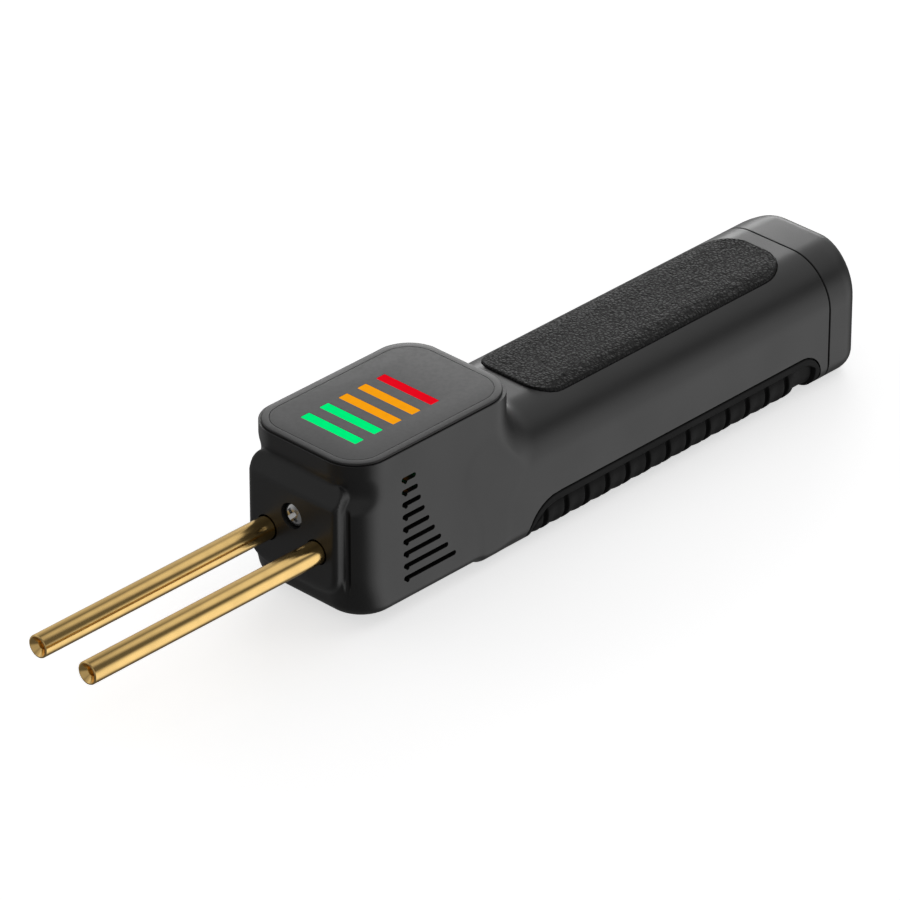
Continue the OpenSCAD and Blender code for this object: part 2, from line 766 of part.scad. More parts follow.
// Battery leads meet the nickel strips square on, and the board from below
tab_front = cell_front + 0.32 + solder_gap;
tab_back = cell_front - cell_l - 0.32 - solder_gap;
lead_x = head_back + 6.4;
lead_z = cell_z + 4.6;
side_z = 3.8;

module battery_lead_front() at_nose() color("#b02020")
    sweep(smooth([[tab_front, 0, lead_z], [tab_front + 2.4, 0, lead_z], [head_back - 6, 3, 2.6],
                  [head_back + 1, 6, 3.4], [lead_x, 7, 6.2], [lead_x, 7, 8.4],
                  [lead_x, 7, main_board_z - solder_gap]]), 1.2);

module battery_lead_rear() at_nose() color("#202020")
    sweep(smooth([[tab_back, -2, lead_z], [tab_back - 1.8, -2, lead_z], [tab_back - 3.2, -5.4, 2.8],
                  [tab_back - 1.8, -9.4, 3.6], [tab_back + 3, -11, side_z], [tab_back + 30, -11, side_z],
                  [tab_front - 4, -11, side_z], [head_back - 4, -10, 3.6], [head_back + 3, -7.6, 4.2],
                  [lead_x, -7, 6.2], [lead_x, -7, 8.4], [lead_x, -7, main_board_z - solder_gap]]), 1.2);

// Charging leads: one to each end of the cell
module charge_leads() at_nose() color("#b02020") {
    from = charge_front + solder_gap;
    z = charge_z + board_t / 2;
    sweep(smooth([[from, 0.4, z], [from + 1.4, 0.4, z], [(from + tab_back) / 2, 1.2, 1],
                  [tab_back - 1.4, 1.6, -1], [tab_back, 1.6, -1]]), 0.5);
    sweep(smooth([[from, 3, z], [from + 1.4, 3, z], [tab_back, 8.6, side_z], [tab_back + 5, 11, side_z],
                  [tab_back + 30, 11, side_z], [tab_front - 6, 11, side_z], [tab_front + 1.4, 8, 3],
                  [tab_front + 2.6, 3.4, -1], [tab_front + 1.4, 2.4, -2.4], [tab_front, 2.4, -2.4]]), 0.5);
}

module switch_leads() at_nose() color("#d8d8d8") {
    x = -trigger_back - 9;
    low = switch_board_z + board_t + solder_gap;
    for (s = [-1, 1])
        sweep(smooth([[x, s * 3, low], [x, s * 3, low + 2], [x - 0.4, s * 2.4, 5.6],
                      [x - 0.4, s * 2, 8.4], [x - 0.4, s * 2, main_board_z - solder_gap]]), 0.5);
}

housing();
nose_screw();
top_cover();
cover_screws();
label_film();
green_light_bars();
orange_light_bars();
red_light_bar();
top_grip_pad();
lower_grip();
end_cap();
end_cap_screws();
electrode_left();
electrode_right();
electrode_block();
terminal_left();
terminal_right();
terminal_screws();
trigger();
trigger_spring();
push_switch();
switch_plunger();
switch_board();
switch_board_screws();
main_board();
main_board_screws();
indicator_leds();
power_transistors();
control_chip();
battery_cell();
battery_cradle();
cell_tabs();
charge_board();
charge_port();
electrode_lead_left();
electrode_lead_right();
battery_lead_front();
battery_lead_rear();
charge_leads();
switch_leads();
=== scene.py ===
"""Cordless plastic welder: the visual model and its studio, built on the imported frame."""
import json
import math

import bmesh
import bpy
import numpy as np
from bpy.props import FloatProperty, FloatVectorProperty, IntProperty, PointerProperty
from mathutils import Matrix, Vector


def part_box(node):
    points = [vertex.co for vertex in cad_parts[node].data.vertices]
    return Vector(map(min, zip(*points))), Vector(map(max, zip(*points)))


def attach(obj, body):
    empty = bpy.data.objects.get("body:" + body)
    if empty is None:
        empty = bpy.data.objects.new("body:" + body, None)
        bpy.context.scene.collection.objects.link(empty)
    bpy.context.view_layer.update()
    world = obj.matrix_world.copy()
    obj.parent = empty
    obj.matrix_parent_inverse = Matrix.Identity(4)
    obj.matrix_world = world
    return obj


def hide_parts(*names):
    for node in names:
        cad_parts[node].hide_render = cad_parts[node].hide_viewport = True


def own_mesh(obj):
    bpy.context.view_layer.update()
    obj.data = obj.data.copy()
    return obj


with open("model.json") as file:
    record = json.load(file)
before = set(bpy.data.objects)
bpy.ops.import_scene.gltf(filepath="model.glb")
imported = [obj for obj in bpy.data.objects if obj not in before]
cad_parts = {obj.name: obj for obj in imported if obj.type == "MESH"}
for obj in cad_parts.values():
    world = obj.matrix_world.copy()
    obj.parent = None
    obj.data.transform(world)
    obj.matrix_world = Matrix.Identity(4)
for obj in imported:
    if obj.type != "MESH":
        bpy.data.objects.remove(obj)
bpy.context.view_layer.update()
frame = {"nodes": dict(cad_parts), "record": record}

bl_info = {
    "name": "Cordless Plastic Welder",
    "version": (1, 0, 0),
    "blender": (4, 5, 0),
    "location": "3D View > Sidebar > Welder",
    "description": "Builds a battery plastic welder with its shells, grips, electrodes and indicator lights",
    "category": "Add Mesh",
}

MM = 0.001
MERGE = 2e-6  # Points of one mesh that are closer than this, in metres, become one


def middle(node):
    low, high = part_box(node)
    return (low + high) / 2


# Places that the frame gives. All modelling is in millimetres from the middle of the nose face,
# on the electrode plane.
NOSE = Vector((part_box("housing")[1].x, 0, middle("electrode_left").z))


def from_nose(metres):
    return (Vector(metres) - NOSE) / MM


def node_box(node):
    low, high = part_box(node)
    return from_nose(low), from_nose(high)


SHELL_LOW, SHELL_HIGH = node_box("housing")
COVER_LOW, COVER_HIGH = node_box("top_cover")
PAD_LOW, PAD_HIGH = node_box("top_grip_pad")
GRIP_LOW, GRIP_HIGH = node_box("lower_grip")
CAP_LOW, CAP_HIGH = node_box("end_cap")
FILM_LOW, FILM_HIGH = node_box("label_film")
ROD_LOW, ROD_HIGH = node_box("electrode_left")
TRIGGER_LOW, TRIGGER_HIGH = node_box("trigger")
SCREW_LOW, SCREW_HIGH = node_box("nose_screw")
SPRING_LOW, SPRING_HIGH = node_box("trigger_spring")


# ---------------------------------------------------------------- sizes and colours


def length(name, text, default, **more):
    return FloatProperty(name=name, description=text, default=default, unit="NONE", **more)


def colour(name, text, default):
    return FloatVectorProperty(name=name, description=text, default=default, size=3, min=0, max=1,
                               subtype="COLOR")


class WelderSizes(bpy.types.PropertyGroup):
    """Sizes in millimetres"""
    wall: length("Wall", "Thickness of the shells", 2.6, min=1, max=4)
    head_corner: length("Head corner", "Radius of the head's upright corners", 8.2, min=4, max=9)
    nose_out: length("Nose", "How far the nose stands out in front of the head", 2.2, min=1, max=4)
    nose_half: length("Nose half width", "Half the width of the nose face", 12.5, min=8, max=13)
    neck: length("Neck blend", "Softness of the blend from the head to the handle", 6.0, min=1, max=9)
    top_r: length("Handle top radius", "Radius of the handle's upper edges", 11.0, min=6, max=12)
    foot_r: length("Handle foot radius", "Radius of the handle's lower edges", 5.5, min=3, max=7)
    cap_corner: length("Cap corner", "Radius of the end cap's upright corners", 6.5, min=4, max=8)
    seam: length("Seam", "Width of the seam in front of the end cap", 0.4, min=0.1, max=0.6)
    gap: length("Gap", "Clearance round the pieces that drop into a pocket", 0.15, min=0.05, max=0.3)
    grip_seam: length("Grip seam", "Width of the seam round the lower grip", 0.3, min=0.1, max=0.5)
    pocket: length("Pocket", "Depth of the grip pockets", 1.3, min=0.8, max=1.8)
    grain: length("Pad grain", "Height of the pad's leather grain", 0.13, min=0, max=0.3)
    groove_pitch: length("Groove pitch", "Distance between two grooves of the lower grip", 6.17, min=4, max=8)
    groove_w: length("Groove width", "Width of a groove of the lower grip", 1.35, min=0.5, max=2)
    groove_deep: length("Groove depth", "Depth of a groove of the lower grip", 1.1, min=0.2, max=1.2)
    border: length("Grip border", "Width of the plain border round the ribs", 1.9, min=0.5, max=4)
    vent_w: length("Vent width", "Width of a vent slot", 1.12, min=0.5, max=1.5)
    vent_pitch: length("Vent pitch", "Distance between two vent slots", 2.83, min=2, max=4)
    vents: IntProperty(name="Vents", description="Vent slots on each side", default=9, min=1, max=9)


class WelderColours(bpy.types.PropertyGroup):
    """Colours of the finishes"""
    shell: colour("Shell", "Moulded shell", (0.0105, 0.0105, 0.0105))
    film: colour("Film", "Label film", (0.0135, 0.0136, 0.0138))
    pad: colour("Pad", "Top grip pad", (0.0105, 0.0105, 0.0105))
    grip: colour("Grip", "Lower grip", (0.007, 0.007, 0.007))
    brass: colour("Brass", "Electrodes", (0.86, 0.58, 0.22))
    green: colour("Green", "Green indicator light", (0.0, 0.8, 0.19))
    orange: colour("Orange", "Orange indicator light", (0.8, 0.3, 0.006))
    red: colour("Red", "Red indicator light", (0.72, 0.003, 0.012))


def sizes():
    return bpy.context.scene.welder_sizes


def colours():
    return bpy.context.scene.welder_colours


# ---------------------------------------------------------------- shader nodes


class Value:
    """A node socket that ordinary maths works on"""

    def __init__(self, shader, socket):
        self.shader, self.socket = shader, socket

    def math(self, operation, *others):
        return self.shader.node("ShaderNodeMath", {"operation": operation}, [self, *others])

    def __add__(self, other):
        return self.math("ADD", other)

    def __mul__(self, other):
        return self.math("MULTIPLY", other)

    __radd__ = __add__
    __rmul__ = __mul__


class Shader:
    """A material with one Principled BSDF, and one method that adds any other node.
    With a world it works on the world's Background instead."""

    def __init__(self, name, world=None, **constants):
        self.material = world or bpy.data.materials.new(name)
        self.material.use_nodes = True
        self.tree = self.material.node_tree
        self.surface = self.tree.nodes["Background" if world else "Principled BSDF"]
        for socket, value in constants.items():
            self.set(socket, value)

    def set(self, socket, value):
        self._fill(self.surface.inputs[socket.replace("_", " ")], value)

    def _fill(self, socket, value):
        if isinstance(value, Value):
            self.tree.links.new(value.socket, socket)
        elif socket.type == "RGBA" and len(value) == 3:
            socket.default_value = (*value, 1)
        else:
            socket.default_value = value

    def node(self, kind, settings=None, inputs=(), output=0):
        """Adds a node. Inputs are a list, or a dict by name or number."""
        made = self.tree.nodes.new(kind)
        for key, value in (settings or {}).items():
            setattr(made, key, value)
        items = inputs.items() if isinstance(inputs, dict) else enumerate(inputs)
        for key, value in items:
            self._fill(made.inputs[key], value)
        return Value(self, made.outputs[output])

    def place(self, scale=(1, 1, 1)):
        at = self.node("ShaderNodeTexCoord", output="Object")
        return self.node("ShaderNodeMapping", inputs={"Vector": at, "Scale": scale})

    def noise(self, size_mm, detail=3.0, rough=0.5, stretch=(1, 1, 1)):
        """Noise whose features are about size_mm across"""
        return self.node("ShaderNodeTexNoise", inputs={
            "Vector": self.place(stretch), "Scale": 1 / (size_mm * MM), "Detail": detail,
            "Roughness": rough})

    def cells(self, size_mm, feature="F1"):
        return self.node("ShaderNodeTexVoronoi", {"feature": feature}, {
            "Vector": self.place(), "Scale": 1 / (size_mm * MM)}, "Distance")

    def ramp(self, value, low, high, to_low=0.0, to_high=1.0):
        return self.node("ShaderNodeMapRange", {"interpolation_type": "SMOOTHSTEP"}, {
            "Value": value, "From Min": low, "From Max": high, "To Min": to_low, "To Max": to_high})

    def mix(self, factor, first, second):
        return self.node("ShaderNodeMix", {"data_type": "RGBA"},
                         {0: factor, 6: first, 7: second}, 2)

    def bump(self, height, depth_mm, strength=1.0):
        self.set("Normal", self.node("ShaderNodeBump", inputs={
            "Strength": strength, "Distance": depth_mm * MM, "Height": height}))


def shade(rgb, factor):
    return tuple(min(1.0, c * factor) for c in rgb)


def moulded(name, rgb, rough, grain_mm, grain_deep, spread=0.06, **constants):
    """Moulded plastic with a fine spark-eroded grain, and handling marks in its gloss"""
    s = Shader(name, **constants)
    fine = s.noise(grain_mm, 4, 0.6)
    broad = s.noise(14, 2)
    patches = s.ramp(broad * 0.6 + fine * 0.4, 0.35, 0.65)
    s.set("Base Color", s.mix(patches, shade(rgb, 0.88), shade(rgb, 1.12)))
    s.set("Roughness", s.ramp(broad * 0.7 + fine * 0.3, 0.3, 0.7, rough - spread, rough + spread))
    s.bump(fine, grain_deep)
    return s.material


def film_finish(rgb):
    """Printed film: nearly smooth, with a faint orange peel"""
    s = Shader("satin_film", Specular_IOR_Level=0.38)
    peel = s.noise(0.9, 2)
    s.set("Base Color", s.mix(s.noise(6, 2), shade(rgb, 0.95), shade(rgb, 1.06)))
    s.set("Roughness", s.ramp(peel, 0.3, 0.7, 0.34, 0.42))
    s.bump(peel, 0.004)
    return s.material


def leather_finish(rgb):
    """Moulded leather grain: fine wrinkles over the modelled cells, with painted shade darkening the colour
    between them and a painted highlight lightening their tops
    """
    s = Shader("leather_grain", Specular_IOR_Level=0.22)
    cell = s.cells(0.85, "DISTANCE_TO_EDGE")
    fine = s.noise(0.22, 5, 0.65)
    raised = s.ramp(cell, 0.0, 0.32)
    # Painted shade and highlight: the base colour is darkened between the raised cells and lightened on their
    # tops.
    s.set("Base Color", s.mix(raised * 0.8 + fine * 0.2, shade(rgb, 0.5), shade(rgb, 1.5)))
    s.set("Roughness", s.ramp(raised + fine * 0.4, 0.1, 1.2, 0.66, 0.44))
    s.bump(raised * 0.7 + fine * 0.5, 0.09)
    return s.material


def metal(name, rgb, rough, line_mm=0.12, stretch=(0.04, 1, 1), deep=0.002, tarnish=0.8, **constants):
    """Metal with fine drawing lines and a little tarnish"""
    s = Shader(name, Metallic=1.0, **constants)
    lines = s.noise(line_mm, 3, 0.6, stretch)
    blotch = s.noise(5, 3)
    s.set("Base Color", s.mix(s.ramp(blotch, 0.3, 0.75), rgb, shade(rgb, tarnish)))
    s.set("Roughness", s.ramp(lines * 0.5 + blotch * 0.5, 0.3, 0.7, rough * 0.75, rough * 1.3))
    s.bump(lines, deep)
    return s.material


def lamp(name, rgb, glow):
    """Lit light guide, its glow a little uneven in patches"""
    s = Shader(name, Roughness=0.4, Specular_IOR_Level=0.0, Emission_Strength=glow)
    haze = s.noise(1.6, 3)
    s.set("Base Color", s.mix(haze, shade(rgb, 0.15), shade(rgb, 0.25)))
    s.set("Emission Color", s.mix(haze, shade(rgb, 0.86), rgb))
    return s.material


def board_finish():
    """Green solder mask over tracks, with tinned pads"""
    s = Shader("solder_mask", Coat_Weight=0.4, Coat_Roughness=0.15)
    tracks = s.node("ShaderNodeTexBrick", inputs={
        "Vector": s.place(), "Scale": 1 / (9 * MM), "Mortar Size": 0.06, "Color1": (0, 0, 0),
        "Color2": (0, 0, 0), "Mortar": (1, 1, 1)}, output="Fac")
    pads = s.ramp(s.cells(2.6), 0.17, 0.13)
    green = s.mix(tracks, (0.006, 0.075, 0.03), (0.015, 0.16, 0.06))
    s.set("Base Color", s.mix(pads, green, (0.72, 0.7, 0.66)))
    s.set("Metallic", pads)
    s.set("Roughness", s.ramp(s.noise(0.6), 0.3, 0.7, 0.3, 0.42))
    s.bump(tracks * 0.6 + pads, 0.03)
    return s.material


def sleeve_finish():
    """Heat-shrink sleeve with faint rings where it has drawn tight"""
    s = Shader("cell_sleeve", Coat_Weight=0.5, Coat_Roughness=0.1)
    wrinkle = s.noise(1.2, 3, 0.5, (3, 0.5, 0.5))
    s.set("Base Color", s.mix(s.noise(8), (0.02, 0.11, 0.34), (0.03, 0.15, 0.42)))
    s.set("Roughness", s.ramp(wrinkle, 0.3, 0.7, 0.25, 0.4))
    s.bump(wrinkle, 0.03)
    return s.material


def floor_finish():
    s = Shader("studio_floor", Roughness=0.9, Specular_IOR_Level=0.0, Emission_Strength=0.62)
    s.set("Base Color", s.mix(s.noise(400, 2), (0.88, 0.88, 0.885), (0.9, 0.9, 0.902)))
    s.set("Emission Color", (1, 1, 1))
    return s.material


_finishes = {}


def finish(name):
    """The material of a slot, made once"""
    if name not in _finishes:
        c = colours()
        makers = {
            "shell": lambda: moulded("satin_shell", tuple(c.shell), 0.36, 0.16, 0.01, 0.04),
            "cover": lambda: moulded("satin_cover", shade(c.shell, 1.3), 0.4, 0.14, 0.006, 0.03),
            "film": lambda: film_finish(tuple(c.film)),
            "pad": lambda: leather_finish(tuple(c.pad)),
            "grip": lambda: moulded("soft_touch_grip", tuple(c.grip), 0.5, 0.2, 0.012,
                                    Specular_IOR_Level=0.08),
            "green_light": lambda: lamp("green_lamp", tuple(c.green), 1.05),
            "orange_light": lambda: lamp("orange_lamp", tuple(c.orange), 1.15),
            "red_light": lambda: lamp("red_lamp", tuple(c.red), 1.06),
            "electrode_brass": lambda: metal("polished_brass", tuple(c.brass), 0.16, tarnish=0.88),
            "terminal_brass": lambda: metal("machined_brass", (0.7, 0.46, 0.17), 0.3),
            "screw_steel": lambda: metal("bright_nickel", (0.7, 0.7, 0.7), 0.18, 0.08, (1, 1, 1)),
            "dark_screw": lambda: metal("black_oxide", (0.12, 0.12, 0.125), 0.4, 0.1, (1, 1, 1)),
            "spring_steel": lambda: metal("drawn_wire", (0.5, 0.5, 0.52), 0.25, 0.06, (1, 1, 1)),
            "phenolic": lambda: moulded("phenolic_moulding", (0.22, 0.085, 0.03), 0.5, 0.3, 0.02),
            "button": lambda: moulded("button_rubber", (0.02, 0.02, 0.021), 0.5, 0.18, 0.01),
            "switch_body": lambda: moulded("switch_moulding", (0.02, 0.02, 0.021), 0.35, 0.25, 0.004),
            "plunger": lambda: moulded("acetal_plunger", (0.75, 0.72, 0.62), 0.35, 0.3, 0.004),
            "circuit_board": board_finish,
            "led_white": lambda: moulded("clear_resin", (0.85, 0.82, 0.6), 0.25, 0.4, 0.003),
            "chip": lambda: moulded("epoxy_chip", (0.018, 0.018, 0.02), 0.55, 0.12, 0.006),
            "cell_sleeve": sleeve_finish,
            "cradle": lambda: moulded("cradle_moulding", (0.03, 0.03, 0.033), 0.5, 0.25, 0.012),
            "nickel": lambda: metal("nickel_strip", (0.55, 0.53, 0.49), 0.3, 0.1, (1, 0.1, 1)),
            "port_steel": lambda: metal("stamped_steel", (0.56, 0.57, 0.58), 0.25, 0.1, (0.1, 1, 1)),
            "red_lead": lambda: moulded("red_silicone", (0.42, 0.01, 0.01), 0.45, 0.4, 0.01),
            "black_lead": lambda: moulded("black_silicone", (0.015, 0.015, 0.015), 0.45, 0.4, 0.01),
            "white_lead": lambda: moulded("white_silicone", (0.7, 0.7, 0.68), 0.45, 0.4, 0.01),
        }
        _finishes[name] = makers[name]()
    return _finishes[name]


# ---------------------------------------------------------------- mesh making


def to_metres(points):
    return np.asarray(points, float) * MM + np.array(NOSE)


def solid(name, points, faces):
    """A closed mesh from points in millimetres from the nose, with every face turned outwards"""
    data = bpy.data.meshes.new(name)
    data.from_pydata(to_metres(points).tolist(), [], [list(map(int, f)) for f in faces])
    data.validate()
    bm = bmesh.new()
    bm.from_mesh(data)
    bmesh.ops.remove_doubles(bm, verts=bm.verts, dist=MERGE)
    bmesh.ops.recalc_face_normals(bm, faces=bm.faces)
    bm.to_mesh(data)
    bm.free()
    made = bpy.data.objects.new(name, data)
    bpy.context.scene.collection.objects.link(made)
    return made


def apply_modifiers(obj):
    graph = bpy.context.evaluated_depsgraph_get()
    made = bpy.data.meshes.new_from_object(obj.evaluated_get(graph))
    obj.modifiers.clear()
    obj.data = made


def cut(obj, other):
    """Cuts away another mesh, which is used up"""
    mod = obj.modifiers.new("cut", "BOOLEAN")
    mod.object, mod.operation, mod.solver = other, "DIFFERENCE", "MANIFOLD"
    apply_modifiers(obj)
    bpy.data.objects.remove(other)
    if not obj.data.polygons:
        raise RuntimeError(f"{obj.name}: the cut left nothing")


def finish_piece(obj, slot, body="root", replaces=(), angle=32):
    """Smooth faces with sharp edges kept, and the piece's material, slot and body"""
    bm = bmesh.new()
    bm.from_mesh(obj.data)
    limit = math.radians(angle)
    for face in bm.faces:
        face.smooth = True
    for edge in bm.edges:
        edge.smooth = len(edge.link_faces) == 2 and edge.calc_face_angle(0) < limit
    bm.to_mesh(obj.data)
    bm.free()
    obj.data.materials.clear()
    obj.data.materials.append(finish(slot))
    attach(obj, body)
    if replaces:
        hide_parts(*replaces)


def stitched(rings):
    """Faces between rings of equal length, with both ends filled"""
    n = len(rings[0])
    points = [p for ring in rings for p in ring]
    faces = []
    for i in range(len(rings) - 1):
        for k in range(n):
            a, b = i * n + k, i * n + (k + 1) % n
            faces.append((a, b, b + n, a + n))
    faces.append(tuple(range(n))[::-1])
    last = (len(rings) - 1) * n
    faces.append(tuple(range(last, last + n)))
    return points, faces


def thick_sheet(outer, inner):
    """A closed solid between two grids of points of the same shape"""
    rows, cols = outer.shape[:2]
    points = np.concatenate([outer.reshape(-1, 3), inner.reshape(-1, 3)])
    under = rows * cols
    faces = []
    for i in range(rows - 1):
        for j in range(cols - 1):
            a = i * cols + j
            quad = (a, a + 1, a + cols + 1, a + cols)
            faces.append(quad)
            faces.append(tuple(under + k for k in quad[::-1]))
    edge = list(range(cols))
    edge += [i * cols + cols - 1 for i in range(1, rows)]
    edge += [(rows - 1) * cols + j for j in range(cols - 2, -1, -1)]
    edge += [i * cols for i in range(rows - 2, 0, -1)]
    for a, b in zip(edge, edge[1:] + edge[:1]):
        faces.append((b, a, under + a, under + b))
    return points, faces


def revolved(profile, axis_y, axis_z, sides=64):
    """A solid of revolution about a line along X. The profile is (x, radius) points."""
    turn = [2 * math.pi * k / sides for k in range(sides)]
    rings = [[(x, axis_y + r * math.cos(a), axis_z + r * math.sin(a)) for a in turn] for x, r in profile]
    return stitched(rings)


def arc_points(cx, cy, r, start, steps=12):
    """A quarter turn from an angle in degrees"""
    angles = [math.radians(start + 90 * k / steps) for k in range(steps + 1)]
    return [(cx + r * math.cos(a), cy + r * math.sin(a)) for a in angles]


def rounded_outline(front, back, half, r_front, r_back, steps=12):
    """An outline from above with its own radius at each end"""
    return (arc_points(front - r_front, half - r_front, r_front, 0, steps)
            + arc_points(back + r_back, half - r_back, r_back, 90, steps)
            + arc_points(back + r_back, r_back - half, r_back, 180, steps)
            + arc_points(front - r_front, r_front - half, r_front, 270, steps))


def slab(outline, profile):
    """A slab whose outline is a function of an inset, through (inset, z) steps"""
    return stitched([[(x, y, z) for x, y in outline(inset)] for inset, z in profile])


def drill(obj, x0, x1, y, z, r):
    """Cuts a round hole along X"""
    cut(obj, solid("hole", *revolved([(x0, r), (x1, r)], y, z, 48)))


# ---------------------------------------------------------------- form of the shells


def smoothstep(low, high, x):
    t = np.clip((x - low) / (high - low), 0, 1)
    return t * t * (3 - 2 * t)


def soft_min(a, b, k):
    h = np.maximum(k - np.abs(a - b), 0) / k
    return np.minimum(a, b) - h * h * k / 4


def soft_max(a, b, k):
    return -soft_min(-a, -b, k)


def corner(a, b, r):
    """Distance to a convex edge between two faces, rounded to r"""
    a, b = a + r, b + r
    return np.hypot(np.maximum(a, 0), np.maximum(b, 0)) + np.minimum(np.maximum(a, b), 0) - r


# The form's own sizes, which the frame doesn't give
PAD_PROUD = 0.5
HEAD_FLOOR = -15.1
HEAD_RIM = COVER_HIGH.z - 0.47
HEAD_MARGIN = 0.5  # The head round the cover
HEAD_SPREAD = 0.65  # How much wider each side is at the floor
HEAD_LEAN = 2.0
LEAN_FROM = 4.4
CORNER_OUT = 1.4
CHANNEL_R = 0.65
CHANNEL_DEEP = 2.4
CHANNEL_FOOT = 9.5
SCOOP_Z = 14.0
SCOOP_R = 4.4
SCOOP_OUT = 3.95
BROW_TOP = 15.6
BROW_LOW = 11.2
BROW_RUN = 2.7
CHIN = -11.5
# Holes in the nose, and the button's face
ROD_HOLE_R = 2.8
SCREW_HOLE_R, SCREW_WELL_R, SCREW_WELL_DEEP = 1.7, 2.87, 2.2
NOSE_HOLE_DEEP = 8
BUTTON_LONG, BUTTON_WIDE = 16, 9


def handle_half():
    return SHELL_HIGH.y


def handle_top():
    return PAD_HIGH.z - PAD_PROUD


def section(y, z, inset=0.0):
    """Distance to the handle's section: large arcs above and smaller ones below"""
    s = sizes()
    top, low = handle_top(), SHELL_LOW.z
    mid = (top + low) / 2
    r = np.where(z > mid, s.top_r, s.foot_r)
    return corner(np.abs(y) - handle_half(), np.abs(z - mid) - (top - low) / 2, r) + inset


def head_ends():
    s = sizes()
    return -s.nose_out, COVER_LOW.x - HEAD_MARGIN


def head_half(z):
    """Half the head's width, which spreads towards the floor"""
    return COVER_HIGH.y + HEAD_MARGIN + HEAD_SPREAD * smoothstep(-18, 12, -z)


def head_field(x, y, z):
    """The head's block: upright corners, a front that leans back below, and a scoop under the collar"""
    s = sizes()
    front, back = head_ends()
    front = front + CORNER_OUT * smoothstep(-12.8, -9.5, -z)
    front = front - HEAD_LEAN * smoothstep(LEAN_FROM, -HEAD_FLOOR, -z)
    long = np.abs(x - (front + back) / 2) - (front - back) / 2
    plan = corner(long, np.abs(y) - head_half(z), s.head_corner)
    block = np.maximum(corner(plan, HEAD_FLOOR - z, 3.0), z - HEAD_RIM - 1.5)
    fade = smoothstep(-12.5, -5.5, x)
    scoop = np.hypot(plan - SCOOP_OUT - 2.4 * (1 - fade), z - SCOOP_Z) - SCOOP_R
    return soft_max(block, -scoop, 1.1)


def nose_field(x, y, z):
    """The raised nose: a flat face under a sloping brow, with a tucked chin"""
    s = sizes()
    mid = (BROW_TOP + CHIN) / 2
    r = np.where(z > mid, 2.6, 7.6)
    front_view = corner(np.abs(y) - s.nose_half, np.abs(z - mid) - (BROW_TOP - CHIN) / 2, r)
    rise = BROW_TOP - BROW_LOW
    slope = (x * rise + (z - BROW_LOW) * BROW_RUN) / math.hypot(BROW_RUN, rise)
    tuck = x * 0.75 - (z + 8.5) * 0.66
    face = soft_max(front_view, x, 1.3)
    return np.maximum(soft_max(soft_max(face, slope, 0.35), tuck, 2.5), -(x + 9))


def housing_field(x, y, z):
    s = sizes()
    block = head_field(x, y, z)
    beside = np.hypot(np.abs(y) - s.nose_half - CHANNEL_R, np.minimum(x + CHANNEL_DEEP, 0)) - CHANNEL_R
    upright = np.abs(z - (BROW_LOW - CHANNEL_FOOT) / 2) - (BROW_LOW + CHANNEL_FOOT) / 2
    channel = np.maximum(beside, upright)
    head = soft_min(soft_max(block, -channel, 0.3), nose_field(x, y, z), 0.35)
    handle = corner(section(y, z), x + 37.5, 2.2)
    softness = 1.4 + (s.neck - 1.4) * smoothstep(-7, 6, z)
    both = soft_min(head, handle, softness)
    side = head_half(z) + (handle_half() - head_half(z)) * smoothstep(38, 56, -x)
    return soft_max(both, np.abs(y) - side, 0.25)


def project(origin, direction, field):
    """Marches from inside the form to its surface along each direction"""
    direction = direction / np.linalg.norm(direction, axis=1)[:, None]
    t = np.zeros(len(origin))
    for _ in range(90):
        p = origin + direction * t[:, None]
        t = t - field(p[:, 0], p[:, 1], p[:, 2]) * 0.9
    return origin + direction * t[:, None]


def spread(stops):
    """Values from (start, step) stops up to the last start"""
    out = []
    for (a, step), (b, _) in zip(stops, stops[1:]):
        count = max(1, round(abs(b - a) / step))
        out += [a + (b - a) * k / count for k in range(count)]
    return np.array(out + [stops[-1][0]])


def housing_form():
    """The outside as one grid of quads: a front patch, then rings to the rear"""
    core_x, core_z = -19.0, 2.6
    across = spread([(-16.6, 0.32), (-10, 0.6), (10, 0.32), (16.6, 1)])
    upright = spread([(-18.2, 0.5), (9.5, 0.3), (18.5, 0.5), (20.4, 1)]) - core_z
    ny, nz = len(across), len(upright)
    grid_y, grid_z = np.meshgrid(across, upright, indexing="ij")
    depth = -core_x
    patch_dir = np.stack([np.full(grid_y.size, depth), grid_y.ravel(), grid_z.ravel()], 1)
    patch = project(np.tile([core_x, 0, core_z], (grid_y.size, 1)), patch_dir, housing_field)
    index = np.arange(ny * nz).reshape(ny, nz)
    faces = [(index[i, j], index[i + 1, j], index[i + 1, j + 1], index[i, j + 1])
             for i in range(ny - 1) for j in range(nz - 1)]
    rim = np.concatenate([index[:, 0], index[-1, 1:], index[-2::-1, -1], index[0, -2:0:-1]])
    rim_y, rim_z = patch_dir[rim, 1], patch_dir[rim, 2]
    seam = CAP_HIGH.x
    stops = spread([(-0.45, 0.42), (-14, 0.8), (-38, 0.5), (-66, 2.0), (seam + 3, 0.9),
                    (seam + sizes().seam / 2, 1)])
    rings = []
    for x in stops:
        mix = float(smoothstep(36, 62, -x))
        zc = core_z * (1 - mix) + (SHELL_LOW.z + handle_top()) / 2 * mix
        tall = 1 - mix * 0.2
        from_x = min(core_x, x)
        origin = np.tile([from_x, 0, zc], (len(rim), 1))
        toward = np.stack([np.full(len(rim), x - from_x), rim_y, rim_z * tall], 1)
        rings.append(project(origin, toward, housing_field))
    tail = np.tile([stops[-1], 0, zc], (len(rim), 1))
    inner = project(tail, np.stack([np.zeros(len(rim)), rim_y, rim_z * tall], 1),
                    lambda x, y, z: section(y, z, 0.7))
    rings.append(inner)
    rings.append(inner + [seam - stops[-1], 0, 0])
    points = np.concatenate([patch] + rings)
    before, start = rim, ny * nz
    n = len(rim)
    for r in range(len(rings)):
        now = np.arange(start + r * n, start + (r + 1) * n)
        faces += [(before[k], before[(k + 1) % n], now[(k + 1) % n], now[k])[::-1] for k in range(n)]
        before = now
    faces.append(tuple(before))
    return points, faces


